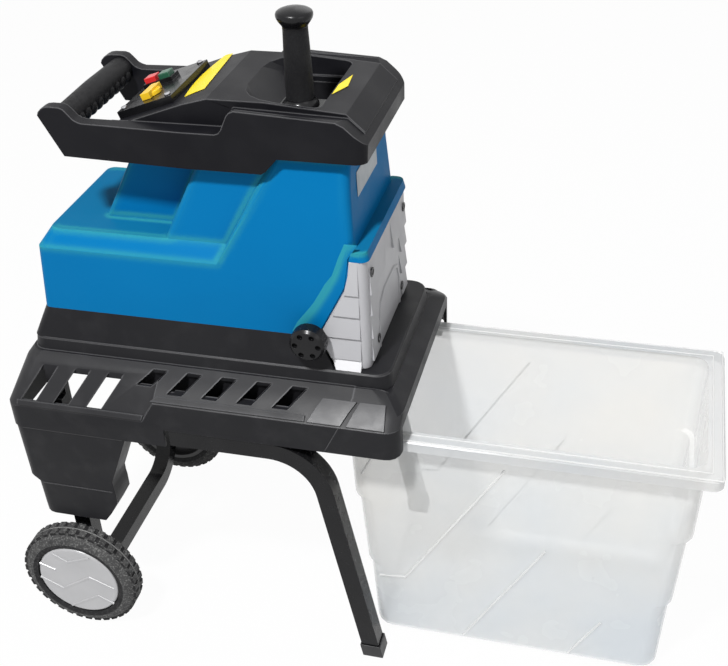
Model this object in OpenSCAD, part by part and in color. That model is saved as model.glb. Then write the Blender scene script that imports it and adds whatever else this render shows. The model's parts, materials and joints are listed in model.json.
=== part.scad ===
// Garden shredder with a slow cutting drum, a bent tube stand on two wheels
// and a pull-out collection box. Millimetres, +Z up.
// The model is laid out from the deck's box end (x = 0) and its mid-plane (y = 0),
// then moved so that the middle of its footprint is the origin.

/* [Deck] */
// Length of the deck
deck_len = 620; // [600:1:640]
// Width of the deck
deck_w = 382; // [378:1:392]
// Height of the deck's flat top above the floor
deck_z = 505; // [500:1:515]
// Height of the plinth that carries the housing
plinth_h = 20; // [14:1:26]
// Drop from the deck's flat top to the foot of its slope at the wheel end
low_drop = 73; // [66:1:80]
// Drop from the deck's flat top to the foot of its slope at the box end
high_drop = 35; // [30:1:40]
// Height of the upright rim at the wheel end
low_rim_h = 41; // [34:1:46]
// Height of the upright rim at the box end
high_rim_h = 48; // [44:1:52]
// Length of the high-rimmed part of the deck
high_len = 382; // [372:1:392]
// Wall of the plastic shells
wall = 4; // [3:0.25:5]
// Number of slots on each side of the deck
slot_count = 8; // [4:1:8]
// Distance from slot to slot
slot_pitch = 54; // [50:1:56]
// Width of a slot
slot_w = 24; // [16:1:30]

/* [Housing] */
// Length of the housing at the seam of its lower part
body_len = 504; // [494:1:514]
// Width of the housing
body_w = 241; // [236:1:246]
// Distance from the housing's drum end to the deck's box end
body_end = 55; // [50:1:60]
// Height of the lower housing
lower_h = 48; // [42:1:54]
// How far the lower housing spreads at its foot
lower_flare = 10; // [6:1:11]
// Height of the motor cover's upright walls
side_h = 103; // [98:1:110]
// Height of the motor cover's sloped shoulder
shoulder_h = 24; // [18:1:28]
// Depth of the motor cover's sloped shoulder
shoulder_d = 18; // [12:1:22]
// Height from the motor cover's top to the top of the feed chute
chute_h = 142; // [130:1:150]

/* [Hood] */
// Width of the hood
hood_w = 236; // [232:1:242]
// Width of one handle arm
arm_w = 26; // [22:1:28]
// Height of the hood's low side
hood_side_h = 55; // [50:1:60]
// Radius of the handle grip
grip_r = 19; // [15:0.5:21]
// Length of the feed slot
slot_len = 160; // [150:1:164]
// Width of the feed slot
slot_gap = 50; // [46:1:54]
// Width of the ledge beside the feed slot
slot_ledge = 10; // [8:0.5:12]
// Length of the control panel up the slope
panel_len = 88; // [80:1:94]
// Width of the control panel
panel_w = 136; // [126:1:150]
// Thickness of the control panel
panel_t = 10; // [8:0.5:12]
// Side of a push button
button_w = 18; // [15:0.5:20]
// Travel of a push button
button_travel = 3; // [2:0.25:4]

/* [Stand] */
// Side of the square steel tube
tube = 28; // [26:0.5:30]
// Wall of the square steel tube
tube_wall = 1.5; // [1:0.25:2.5]
// Lean of the front legs
leg_lean = 10.3; // [8:0.1:12]
// Centre-line radius of the front legs' bend
leg_bend = 86; // [80:1:95]
// Distance from a front foot's middle to the deck's box end
foot_x = 53; // [48:1:58]
// Side of a foot cap
foot_w = 33; // [32:0.5:36]
// Height of a foot cap
foot_h = 24; // [18:1:30]
// Centre-line radius of the rear frame's bends
rear_bend = 70; // [60:1:80]
// Height of the rear cross-member's middle
cross_z = 52; // [45:1:60]

/* [Wheels] */
// Radius of a wheel
wheel_r = 100; // [98:0.5:102]
// Width of a tyre
tyre_w = 43; // [40:0.5:46]
// Distance between the tyres' outer faces
track_w = 450; // [446:1:456]
// Distance from the axle to the deck's box end
axle_x = 545; // [540:1:550]
// Radius of the rim's seat for the tyre
rim_r = 72; // [68:0.5:76]
// Radius of an axle
axle_r = 8; // [6:0.25:10]
// Number of tread blocks in a row
tread_count = 36; // [24:1:44]

/* [Box] */
// Length of the box over its rim
box_len = 558; // [548:1:562]
// Width of the box over its rim
box_w = 316.8; // [312:0.4:318]
// Height of the rim's top above the floor
box_z = 434; // [431:1:436]
// Height of the box
box_h = 422; // [415:1:425]
// Width of the box's flange
flange = 21; // [19:0.5:23]
// Height of the box's flange
flange_h = 18; // [15:0.5:18]
// How far the box is drawn out from the deck's end
box_out = 443; // [430:1:450]
// Wall of the box
box_wall = 2.5; // [2:0.25:3.5]

/* [Drive] */
// Radius of the motor
motor_r = 60; // [54:0.5:62]
// Length of the stator
stator_len = 90; // [80:1:94]
// Radius of the rotor
rotor_r = 32; // [28:0.5:35]
// Gap between the rotor and the stator
air_gap = 0.5; // [0.3:0.05:0.8]
// Radius of the motor shaft
motor_shaft_r = 8.5; // [7:0.1:8.5]
// Radius of the countershaft
counter_shaft_r = 8; // [6:0.25:9]
// Radius of the drum shaft
drum_shaft_r = 12; // [10:0.25:12.5]
// Radius of the cutting drum
drum_r = 55; // [50:0.5:56]
// Length of the cutting drum
drum_len = 54; // [48:0.5:56]
// Number of drum blades
blade_count = 8; // [6:1:10]
// Gap from the drum to the counter plate
plate_gap = 4; // [3.5:0.1:6]
// Thickness of the counter plate
plate_t = 12; // [9:0.5:14]
// Radius of the adjusting knob
knob_r = 26; // [22:0.5:28]
// Depth of the adjusting knob
knob_d = 24; // [20:0.5:28]
// Radius of the adjusting screw
screw_r = 6; // [5:0.25:7]

/* [Fits] */
// Radial clearance of a turning shaft
run_fit = 0.05; // [0.02:0.01:0.09]
// Clearance of a sliding piece
slide_fit = 0.3; // [0.3:0.05:0.6]

/* [Hidden] */
$fn = 64;
corner_steps = 4;
sharp = 0.6;
cut = 1;
far = 900;

// Deck
deck_half = deck_w / 2;
deck_r = 22;
shelf_half = deck_half - 36;
shelf_drop = 9;
top_half = deck_half - 51;
low_foot_z = deck_z - low_drop;
low_rim_z = low_foot_z - low_rim_h;
high_foot_z = deck_z - high_drop;
high_rim_z = high_foot_z - high_rim_h;
step_run = 23;
low_runs = [26, 32];
step_runs = [11, 12];
end_runs = [14, 27];
end_wall = 40;
plinth_foot = 3;
plinth_edge = 2;
plinth_rim = 22;
discharge_edge = 36;
end_bar_z = high_foot_z - 8;
end_top_z = high_foot_z + 14;
end_gap_half = deck_half - 29;
shelf_z = deck_z - shelf_drop;
seam_x = 74;
seam_lean = 0.5;
plinth_half = body_w / 2 + lower_flare + 2.5;
plinth_x0 = -(body_end + body_len + lower_flare * 2 + 4);
plinth_x1 = -body_end + 30;
slot_x0 = -deck_len + 66;
slot_lean = 0.68;
long_slots = 3;
long_slot_z = low_foot_z + 8;
short_lean = 1.2;
short_shift = 18;
short_wrap = 8;
short_slot_z = high_foot_z + 10;
seat_z = deck_z + plinth_h;

// Housing
body_half = body_w / 2;
body_x1 = -body_end;
body_x0 = body_x1 - body_len;
seam_z = seat_z + lower_h;
side_z = seam_z + side_h;
motor_top = side_z + shoulder_h;
chute_top = motor_top + chute_h;
body_r = 12;
side_draft = 10;
end_run = 17;
chute_x0 = -271;
chute_draft = 18;
fairing_x0 = -356;
neck_x0 = -467;
neck_half = 52;
cap_seam = [-79, -84, -130, -106];
cap_notch_z = side_z - 15;
ledge_x0 = chute_x0 + 190;
ledge_h = 13;
cover_screw_at = [[97, side_z - 2], [74, seat_z + 25]];

// Hood
hood_half = hood_w / 2;
arm_in = hood_half - arm_w;
hood_z = chute_top - 23;
hump_half = arm_in - 1;
arm_taper = [-300, -512, 11];
hood_bay = [-430, -192];
hood_step = -169;
hood_end = -48.5;
hood_r = 18;
hood_valley = [-242, -58];
hood_fall = 1.9;
panel_x0 = -408;
panel_x1 = -305;
panel_z0 = hood_z + 42;
panel_z1 = hood_z + 79;
hump_top = hood_z + 89;
panel_tilt = atan2(panel_z1 - panel_z0, panel_x1 - panel_x0);
funnel_z = hood_z + 61;
funnel_floor = 8;
slot_x = -157;
slot_half = slot_len / 2;
duct_wall = 3;
grip_x = -478;
grip_z = hood_z + 50;
grip_bump = [0.5, 0.35, 0.62];
grip_slim = 0.92;
bump_pitch = 19;
// Control panel: places are [up the slope, towards the left]
stop_at = [20.5, 22];
start_at = [43.5, 22];
selector_at = [42, -32];
stem_r = 6;
selector_r = 14;
selector_bar = [14, 40, 9];
button_top = 13;
button_base = [8, 48, 26, 6];
button_foot = 4;
button_rim = 2;
screw_edge = 8.5;
panel_screw_at = [for (x = [screw_edge, panel_len - screw_edge], y = [-1, 1])
    [x, y * (panel_w / 2 - screw_edge)]];
screw_head = [4.5, 3];
switch_edge = 10;
switch_drop = 10;
switch_deep = 40;
inlet_half = 18;
inlet_z = hood_z + 20;
inlet_h = 24;
inlet_deep = 18;
inlet_rim = 4;
pin_pitch = 8;
// Plunger, which stands in the feed slot on its shoulder
plunger_y = -38;
plunger_foot = [62, 48, 6];
plunger_h = 118;
cap_h = 22;
paddle = [40, 32, 170];

// Stand
leg_y = deck_half - 2 - tube / 2;
leg_z = high_rim_z - 1 - tube / 2;
leg_inner = leg_y - tube / 2;
bend_z = leg_z - leg_bend;
bend_x = -foot_x - leg_bend * cos(leg_lean) - (bend_z + leg_bend * sin(leg_lean)) * tan(leg_lean);
bend_steps = 12;
leg_start = -352;
sole = 5;
rear_inset = 33;
rear_y = deck_half - rear_inset;
rear_top = low_rim_z + 14;
bolt_x = [-330, -230];
bolt_r = 4;
boss_w = 24;
cover_outer = deck_half - 2;
cover_gap = 3;
bolt_head = [7, 5];
// Leg cover: drop below the deck's rim, then the ends' distances from the deck's wheel end
leg_cover_steps = [[177, 20, 130], [161, 19, 142], [135, 18, 157], [114, 17, 157],
    [103, 5, 156], [91, 5, 156], [0, 2, 193]];

// Wheels
wheel_face = track_w / 2;
wheel_inner = wheel_face - tyre_w;
tread_h = 4;
tread_deep = 4.8;
tyre_edge = 9;
tread_w = tyre_w / 2 - tyre_edge;
tread_groove = 1;
web_z = 14;
web_t = 8;
cap_edge = 2;
hub_r = 17;
hub_proud = 6;
cap_t = 3;
axle_root = rear_y - tube / 2 - 2;
axle_collar = 3;
axle_head = wheel_face - 2 * cap_t - 4;

// Box
box_half = box_w / 2;
box_x1 = box_out;
box_x0 = box_x1 - box_len;
box_floor = box_z - box_h;
lip_z = box_z - flange_h;
rail_t = 4;
rail_z = lip_z - slide_fit;
rail_w = 13;
tub_r = 26;
rim_round = 16;
rim_edge = 4;
// Tub: height above its floor, then how far the ends and the sides stand in
tub_steps = [[0, 33, 9], [6, 31, 7], [139, 25, 5], [143, 20, 4], [274, 12, 2], [280, 5, 1]];
x_shift = (axle_x + wheel_r - box_x1) / 2;

// Drive: every shaft runs along X and its place is [y, z]
pinion_n = 14;
counter_n = 66;
m1 = 1.5;
drive_n = 13;
output_n = 52;
m2 = 2;
c1 = m1 * (pinion_n + counter_n) / 2;
c2 = m2 * (drive_n + output_n) / 2;
drum_at = [25, seat_z + 75];
counter_at = drum_at + [0, c2];
motor_offset = 45;
motor_at = counter_at - [motor_offset, sqrt(c1 * c1 - motor_offset * motor_offset)];
floor_z = seat_z + wall;
shield_t = 20;
stator_x = -446;
fan_x = stator_x - 45;
case_x0 = stator_x + stator_len + shield_t + 4;
case_len = 88;
case_x1 = case_x0 + case_len;
plate_w = 8;
stage1_x = case_x0 + 14;
stage1_w = 14;
stage2_x = case_x0 + 40;
stage2_w = 24;
backlash = 0.35;
drum_x0 = slot_x - drum_len / 2;
chamber_gap = 12;
chamber_x0 = drum_x0 - chamber_gap - plate_w;
chamber_x1 = drum_x0 + drum_len + chamber_gap + plate_w;
chamber_top = drum_at[1] + 60;
ring_t = 10;
motor_ring_w = 12;
motor_ring_r = 20;
knob_at = [-138, seat_z + 50];
knob_y = body_half + 7;
plate_y = drum_r + plate_gap - drum_at[0];
plate_low = drum_at[1] - 45;
plate_high = drum_at[1] + 45;
guide_t = 6;
guide_len = 34;
plate_boss = 14;
bush_r = 14;
bush_rim = 6;
bush_len = 26;
boss_r = 11;
screw_root = 6.2;
knob_floor = 8;
mesh1 = atan2(counter_at[1] - motor_at[1], counter_at[0] - motor_at[0]);
counter_phase = mesh1 + 180 + 180 / counter_n;
drive_phase = -90;
output_phase = 90 + 180 / output_n;
case_wall = 5;
case_gap = 6;
case_foot = 45;
shield_foot = 40;
foot_top = 30;
fan_r = 50;
fan_hub_r = 16;
fan_w = 20;
fan_blades = 8;
can_r = 20;
can_len = 60;
can_at = [-78, floor_z + can_r];
can_x = -270;

function ring(x0, x1, h, z, rl = sharp, rr = sharp) = [
    for (c = [[x1 - rr, h - rr, rr, 0], [x0 + rl, h - rl, rl, 90],
            [x0 + rl, rl - h, rl, 180], [x1 - rr, rr - h, rr, 270]])
        for (i = [0:corner_steps])
            let (a = c[3] + 90 * i / corner_steps)
            [c[0] + c[2] * cos(a), c[1] + c[2] * sin(a), z]];

// A closed solid through flat rings of equal point counts, from the lowest to the highest
module loft(rings) {
    n = len(rings[0]);
    m = len(rings);
    polyhedron([for (r = rings) each r], concat(
        [[for (i = [0:n - 1]) i]],
        [[for (i = [0:n - 1]) n * m - 1 - i]],
        [for (k = [0:m - 2], i = [0:n - 1])
            [k * n + i, k * n + n + i, k * n + n + (i + 1) % n]],
        [for (k = [0:m - 2], i = [0:n - 1])
            [k * n + i, k * n + n + (i + 1) % n, k * n + (i + 1) % n]]));
}

module box3(x0, x1, y0, y1, z0, z1) translate([x0, y0, z0]) cube([x1 - x0, y1 - y0, z1 - z0]);
module place() translate([x_shift, 0, 0]) children();
module both_sides() {
    children();
    mirror([0, 1, 0]) children();
}
// An outline in X and Z, drawn across from y0 to y1
module across(y0, y1) translate([0, y1, 0]) rotate([90, 0, 0]) linear_extrude(y1 - y0) children();
// Local Z along +X, local X along Y
module on_x(x, p) translate([x, p[0], p[1]]) rotate([90, 0, 90]) children();
// Local Z away from the mid-plane on the right-hand side
module on_right(x, y, z) translate([x, -y, z]) rotate([90, 0, 0]) children();
module tube_on(r_out, r_in, h) difference() {
    cylinder(r = r_out, h = h);
    translate([0, 0, -cut]) cylinder(r = r_in, h = h + 2 * cut);
}
// On the control panel: X up the slope, Z square to it
module on_panel(x = 0, y = 0, z = 0)
    translate([panel_x0, 0, panel_z0]) rotate([0, -panel_tilt, 0]) translate([x, y, z]) children();

function inv_deg(rb, r) = let (t = sqrt(max(0, r * r / (rb * rb) - 1))) t * 180 / PI - atan(t);
// A spur gear's outline with a tooth centred on the angle phase
module gear_outline(n, m, phase) {
    rp = n * m / 2;
    rb = rp * cos(20);
    tip = rp + 0.95 * m;
    root = rp - 1.25 * m;
    low = max(rb, root);
    half_p = 90 / n - backlash / 2 / rp * 180 / PI;
    function half(r) = half_p + inv_deg(rb, rp) - inv_deg(rb, r);
    steps = 4;
    radii = [for (i = [0:steps]) low + (tip - low) * i / steps];
    polygon([for (k = [0:n - 1]) let (c = phase + 360 * k / n) each concat(
        [let (a = c - half(low)) [root * cos(a), root * sin(a)]],
        [for (r = radii) let (a = c - half(r)) if (r > root + 0.01) [r * cos(a), r * sin(a)]],
        [for (i = [steps:-1:0]) let (r = radii[i], a = c + half(r))
            if (r > root + 0.01) [r * cos(a), r * sin(a)]],
        [let (a = c + half(low)) [root * cos(a), root * sin(a)]])]);
}

// Deck
module deck_form(w) {
    low_x1 = -high_len + step_run;
    open = w > 0 ? cut : 0;
    r = deck_r - w;
    half = deck_half - w;
    shelf = shelf_half - w;
    top = top_half - w;
    low_x0 = w - deck_len;
    loft([ring(low_x0, low_x1, half, low_rim_z - open, r),
        ring(low_x0, low_x1, half, low_foot_z - w / 2, r),
        ring(low_x0 + low_runs[0], low_x1, shelf, shelf_z - w, r),
        ring(low_x0 + low_runs[1], low_x1, top, deck_z - w, r)]);
    high_x0 = w - high_len;
    step_x0 = high_x0 - step_runs[0];
    step_x1 = high_x0 + step_runs[1];
    step_z = min(low_foot_z, high_foot_z - step_runs[1]);
    loft([ring(step_x0, -w, half, high_rim_z - 4 * open, sharp, r),
        ring(step_x0, -w, half, step_z - w / 2, sharp, r),
        ring(step_x1, -w, half, high_foot_z - w / 2, sharp, r),
        ring(step_x1, -w, (deck_half + shelf_half) / 2 - w, end_top_z - w, sharp, r),
        ring(step_x1, -end_runs[0] - w, shelf, shelf_z - w, sharp, r),
        ring(step_x1, -end_runs[1] - w, top, deck_z - w, sharp, r)]);
}
module deck_slots() for (i = [0:slot_count - 1]) {
    long = i < long_slots;
    x = slot_x0 + i * slot_pitch + (long ? 0 : short_shift);
    z0 = long ? long_slot_z : short_slot_z;
    z1 = long ? shelf_z + cut : deck_z + cut;
    run = (z1 - z0) * (long ? slot_lean : short_lean);
    both_sides() across(-deck_half - cut, long ? -shelf_half - 2 : short_wrap - shelf_half)
        polygon([[x, z1], [x + slot_w, z1], [x + slot_w - run, z0], [x - run, z0]]);
}
// The wall behind the short slots, which closes the view through them
module slot_wall() both_sides() box3(slot_x0 + long_slots * slot_pitch - short_shift,
    -seam_x - slot_pitch, short_wrap + wall - shelf_half, short_wrap + 2 * wall - shelf_half,
    short_slot_z - slot_w, deck_z - 0.75 * wall);
module deck_shell() difference() {
    union() {
        difference() {
            deck_form(0);
            deck_form(wall);
        }
        intersection() {
            deck_form(0);
            both_sides() union() {
                for (x = bolt_x)
                    box3(x - boss_w / 2, x + boss_w / 2, -deck_half, -leg_inner - cover_gap,
                        leg_z + tube / 2, deck_z);
                box3(-axle_x - tube / 2, -axle_x + tube / 2, -rear_y - tube / 2, tube / 2 - rear_y,
                    rear_top, deck_z);
            }
        }
    }
    deck_slots();
    box3(-end_wall, far, -end_gap_half, end_gap_half, 0, end_bar_z);
    both_sides() for (x = bolt_x) translate([x, -leg_y, 0]) cylinder(r = bolt_r, h = leg_z + tube);
}
module plinth() loft([
    ring(plinth_x0 - plinth_foot, plinth_x1 + plinth_foot, plinth_half + plinth_foot,
        deck_z - wall, deck_r, deck_r),
    ring(plinth_x0, plinth_x1, plinth_half, seat_z - plinth_edge, deck_r, deck_r),
    ring(plinth_x0 + plinth_edge, plinth_x1 - plinth_edge, plinth_half - plinth_edge,
        seat_z, deck_r, deck_r)]);
// The plinth is open under the motor, inside a rim that carries the lower housing
module motor_bay() box3(plinth_x0 + plinth_rim + plinth_edge, chamber_x0 - plate_w,
    plinth_rim - plinth_half, plinth_half - plinth_rim, deck_z - 2 * wall, seat_z + cut);
// The way down for the chips, from z up through the lower housing's floor
module discharge(z) box3(chamber_x0 + plate_w, chamber_x1 - plate_w,
    -plate_y - plate_w, body_half - discharge_edge, z, floor_z + cut);
module end_frame_region() {
    x = -seam_x;
    across(-deck_half - cut, deck_half + cut)
        polygon([[x, far], [x, shelf_z], [x - seam_lean * (shelf_z - high_rim_z), high_rim_z],
            [x - seam_lean * (shelf_z - high_rim_z), 0], [far, 0], [far, far]]);
}
module plinth_region() box3(-far, plinth_x1 + plinth_foot, -plinth_half - plinth_foot,
    plinth_half + plinth_foot, deck_z - wall, far);
module deck() color([0.17, 0.17, 0.18]) difference() {
    union() {
        difference() {
            deck_shell();
            end_frame_region();
        }
        plinth();
        slot_wall();
    }
    motor_bay();
    discharge(deck_z - 2 * wall);
}
module deck_end_frame() color([0.16, 0.16, 0.17]) difference() {
    intersection() {
        deck_shell();
        end_frame_region();
    }
    plinth_region();
}

// Leg covers: a tapered shell under each wheel-end corner, open to the inside
module leg_cover_form(w) loft([for (s = leg_cover_steps)
    ring(s[1] + w - deck_len, s[2] - w - deck_len, cover_outer - w,
        low_rim_z - s[0] + (s[0] > 0 ? w : cut * sign(w)), deck_r - 2 - w, sharp)]);
module leg_cover() color([0.16, 0.16, 0.17]) difference() {
    leg_cover_form(0);
    leg_cover_form(wall);
    box3(-far, far, -rear_y + tube / 2 + cover_gap, far, 0, far);
    box3(-axle_x - tube / 2, -axle_x + tube / 2, -rear_y - tube / 2, far, 0, far);
}
module leg_cover_right() leg_cover();
module leg_cover_left() mirror([0, 1, 0]) leg_cover();

// Front legs: a bar under the deck, a bend and a leaning leg, drawn as one outline
// Where the leg's edge at radius r from the bend's middle reaches the height z
function leg_x(r, z) = bend_x + r * cos(leg_lean) + (bend_z + r * sin(leg_lean) - z) * tan(leg_lean);
function leg_edge(r, z) = concat(
    [for (i = [0:bend_steps]) let (a = 90 - (90 - leg_lean) * i / bend_steps)
        [bend_x + r * cos(a), bend_z + r * sin(a)]],
    [[leg_x(r, z), z]]);
module leg_solid(s, start, z) across(-leg_y - s / 2, s / 2 - leg_y) {
    inner = leg_edge(leg_bend - s / 2, z);
    polygon(concat([[start, leg_z + s / 2]], leg_edge(leg_bend + s / 2, z),
        [for (i = [len(inner) - 1:-1:0]) inner[i]], [[start, leg_z - s / 2]]));
}
module leg_end(s, z0, z1) across(-leg_y - s / 2, s / 2 - leg_y) {
    r0 = leg_bend - s / 2;
    r1 = leg_bend + s / 2;
    polygon([[leg_x(r0, z0), z0], [leg_x(r1, z0), z0], [leg_x(r1, z1), z1], [leg_x(r0, z1), z1]]);
}
module front_leg() color([0.09, 0.09, 0.1]) difference() {
    leg_solid(tube, leg_start, sole);
    leg_solid(tube - 2 * tube_wall, leg_start - cut, sole - cut);
    for (x = bolt_x) translate([x, -leg_y, leg_z - tube]) cylinder(r = bolt_r, h = 2 * tube);
}
module front_leg_right() front_leg();
module front_leg_left() mirror([0, 1, 0]) front_leg();
module foot_caps() color([0.12, 0.12, 0.13]) both_sides() difference() {
    leg_end(foot_w, 0, foot_h);
    leg_end(tube, sole, foot_h + cut);
}
module leg_bolts() color([0.6, 0.6, 0.62]) both_sides() for (x = bolt_x)
    translate([x, -leg_y, leg_z - tube / 2]) {
        cylinder(r = bolt_r, h = 1.5 * tube);
        translate([0, 0, -bolt_head[1]]) cylinder(r = bolt_head[0], h = bolt_head[1]);
    }

// Rear frame and axles
module rear_solid(s, top) both_sides() {
    z = cross_z + rear_bend;
    y = rear_bend - rear_y;
    translate([-axle_x - s / 2, -rear_y - s / 2, z]) cube([s, s, top - z]);
    translate([-axle_x, y, z]) rotate([90, 0, 90]) rotate([0, 0, 180])
        rotate_extrude(angle = 90) translate([rear_bend - s / 2, -s / 2]) square(s);
    translate([-axle_x - s / 2, y, cross_z - s / 2]) cube([s, -y, s]);
}
module rear_leg_frame() color([0.09, 0.09, 0.1]) difference() {
    rear_solid(tube, rear_top);
    rear_solid(tube - 2 * tube_wall, rear_top + cut);
    both_sides() on_right(-axle_x, axle_root, wheel_r) cylinder(r = axle_r, h = 2 * tube);
}
// Each axle is welded through the tube, and a collar and a head keep its wheel in place
module stub_axles() color([0.62, 0.62, 0.64]) both_sides() {
    on_right(-axle_x, axle_root, wheel_r) cylinder(r = axle_r, h = axle_head - axle_root);
    on_right(-axle_x, wheel_inner - hub_proud - slide_fit - axle_collar, wheel_r)
        cylinder(r = axle_r + 4, h = axle_collar);
    on_right(-axle_x, axle_head, wheel_r) cylinder(r = axle_r + 3, h = axle_collar);
}
module box_rails() color([0.2, 0.2, 0.21]) both_sides()
    box3(leg_start, -5, -leg_inner, rail_w - leg_inner, rail_z - rail_t, rail_z);

// Wheels
module tread_ring(shift) linear_extrude(tread_w) difference() {
    polygon([for (k = [0:tread_count - 1], p = [[0, 0], [0.62, 0], [0.7, tread_deep], [0.92, tread_deep]])
        let (a = 360 * (k + p[0] + shift) / tread_count) (wheel_r - p[1]) * [cos(a), sin(a)]]);
    circle(r = wheel_r - 2.5 * tread_h);
}
module tyre() color([0.13, 0.13, 0.14]) on_right(-axle_x, wheel_inner, wheel_r) {
    side = [[rim_r, 2], [rim_r + 8, 0], [wheel_r - 12, 2], [wheel_r - tread_h, tyre_edge]];
    rotate_extrude() polygon(concat(side, [for (i = [3:-1:0]) [side[i][0], tyre_w - side[i][1]]]));
    translate([0, 0, tyre_w / 2 - tread_groove - tread_w]) tread_ring(0);
    translate([0, 0, tyre_w / 2 + tread_groove]) tread_ring(0.5);
}
module tyre_right() tyre();
module tyre_left() mirror([0, 1, 0]) tyre();
module rim() color([0.15, 0.15, 0.16]) on_right(-axle_x, wheel_inner, wheel_r) {
    bore = axle_r + run_fit;
    well = rim_r - 8;
    outer = tyre_w - 2 * cap_t;
    hub_end = axle_head - wheel_inner - slide_fit;
    rotate_extrude() polygon([[bore, -hub_proud], [hub_r, -hub_proud], [hub_r, web_z], [well, web_z],
        [well, 2], [rim_r, 2], [rim_r, outer], [well, outer], [well, web_z + web_t],
        [hub_r, web_z + web_t], [hub_r, hub_end], [bore, hub_end]]);
}
module rim_right() rim();
module rim_left() mirror([0, 1, 0]) rim();
module hub_cap() color([0.72, 0.72, 0.74]) on_right(-axle_x, wheel_face - 2 * cap_t, wheel_r) {
    top = cap_t + cap_edge;
    rotate_extrude() polygon([[0, 0], [rim_r - cap_edge, 0], [rim_r - cap_edge, cap_t],
        [rim_r - cap_edge - cap_t, top], [0, top]]);
}
module hub_cap_right() hub_cap();
module hub_cap_left() mirror([0, 1, 0]) hub_cap();

// Box: a drafted tub whose ends and sides step in on the way down
module box_form(w) {
    x0 = box_x0 + flange + w;
    x1 = box_x1 - flange - w;
    h = box_half - flange - w;
    r = tub_r - w;
    low = box_floor + w;
    top = w > 0 ? box_z + cut : lip_z + rim_edge;
    loft(concat([for (t = tub_steps) ring(x0 + t[1], x1 - t[1], h - t[2], low + t[0], r, r)],
        [ring(x0, x1, h, top, r, r)]));
}
// A straight block inside the rim's outline by w
module rim_block(w, r, z0, z1) loft([for (z = [z0, z1])
    ring(box_x0 + w, box_x1 - w, box_half - w, z, r, r)]);
module collection_box() color([0.85, 0.87, 0.88]) difference() {
    union() {
        box_form(0);
        difference() {
            loft([ring(box_x0, box_x1, box_half, lip_z, rim_round, rim_round),
                ring(box_x0, box_x1, box_half, box_z - rim_edge + cut, rim_round, rim_round),
                ring(box_x0 + rim_edge, box_x1 - rim_edge, box_half - rim_edge, box_z,
                    rim_round - 2, rim_round - 2)]);
            difference() {
                rim_block(box_wall, rim_round - 2, lip_z - cut, box_z - box_wall);
                rim_block(flange - rim_edge, tub_r, lip_z - cut, box_z);
            }
        }
    }
    box_form(box_wall);
}

// Housing
module lower_housing() color([0.16, 0.16, 0.17]) difference() {
    lower_form(0);
    lower_form(wall);
    cap_region();
    discharge(seat_z - cut);
    bush_hole();
}
module lower_form(w) {
    spread = lower_flare - w;
    r = body_r - w / 2;
    loft([ring(body_x0 - 2 * lower_flare - 2 + w, body_x1 - w, body_half + spread, seat_z + w, body_r, r),
        ring(body_x0 + w, body_x1 - w, body_half - w, seam_z + (w > 0 ? cut : 0), body_r, r)]);
}
// The drum cover's part of the housing, right of a bent seam
module cap_region() across(-far, far) polygon([[cap_seam[0], motor_top], [cap_seam[1], cap_notch_z],
    [cap_seam[2], seam_z], [cap_seam[3], seat_z - cut], [far, seat_z - cut], [far, motor_top]]);
module bush_hole() {
    on_right(knob_at[0], plate_y + plate_t, knob_at[1]) cylinder(r = bush_r, h = far);
    on_right(knob_at[0], body_half, knob_at[1]) cylinder(r = bush_r + bush_rim, h = far);
}
// The motor cover, the feed chute's outside, the fairing on its motor end and the narrow neck
module cover_form(w) {
    r = body_r - w / 2;
    half = body_half - w;
    x1 = body_x1 - w;
    motor_x0 = body_x0 + w;
    top_x0 = motor_x0 + side_draft + end_run;
    loft([ring(motor_x0, x1, half, seam_z - (w > 0 ? cut : 0), body_r, r),
        ring(motor_x0 + side_draft, x1, half, side_z - w / 2, body_r, r),
        ring(top_x0, x1, half - shoulder_d, motor_top - w, body_r, r)]);
    back = chute_x0 + w;
    loft([ring(back, x1 - 8, half, seam_z + 20, sharp, r),
        ring(back, x1 - 16, half, side_z, sharp, r),
        ring(back + 60, x1 - 22, half - chute_draft * 0.66, side_z + 110, body_r, r),
        ring(back + 81, x1 - 22, half - chute_draft * 0.87, chute_top - 22, body_r, r),
        ring(back + 92, x1 - 20, half - chute_draft, chute_top - w, body_r, r)]);
    low = motor_top - 5 - w;
    side = half - shoulder_d;
    loft([ring(fairing_x0 + w, chute_x0 + 80, side, low, body_r, sharp),
        ring(fairing_x0 + w + 64, chute_x0 + 110, side - 5, hood_z - w, body_r, sharp)]);
    loft([ring(neck_x0 + w, fairing_x0 + 60, neck_half - w, low, body_r / 2, sharp),
        ring(neck_x0 + w + 67, fairing_x0 + 80, neck_half - 2 - w, hood_z - w, body_r / 2, sharp)]);
}
module main_cover() color([0.04, 0.46, 0.7]) difference() {
    union() {
        cover_form(0);
        loft([ring(ledge_x0, body_x1 + 3, body_half, motor_top, body_r / 2, body_r),
            ring(ledge_x0 + 2, body_x1, body_half - 1, motor_top + ledge_h, body_r / 2, body_r)]);
    }
    cover_form(wall);
    intersection() {
        cap_region();
        box3(-far, far, -far, far, 0, motor_top);
    }
    bush_hole();
    feed_hole(motor_top, chute_top + cut);
}
module feed_hole(z0, z1) duct_form(duct_wall, z0, z1);
module drum_cover() color([0.75, 0.75, 0.77]) difference() {
    intersection() {
        drum_cover_form(0, seat_z, motor_top);
        cap_region();
    }
    drum_cover_form(wall, seat_z - cut, motor_top + cut);
    bush_hole();
}
module drum_cover_form(w, z0, z1) loft([for (z = [z0, z1])
    ring(-far / 2 + w, body_x1 - w, body_half - w, z, body_r, body_r - w / 2)]);
module cover_screws() color([0.55, 0.55, 0.57]) for (s = [-1, 1], p = cover_screw_at)
    on_x(body_x1, [s * p[0], p[1]]) cylinder(r = 4.5, h = 2.5);

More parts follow.
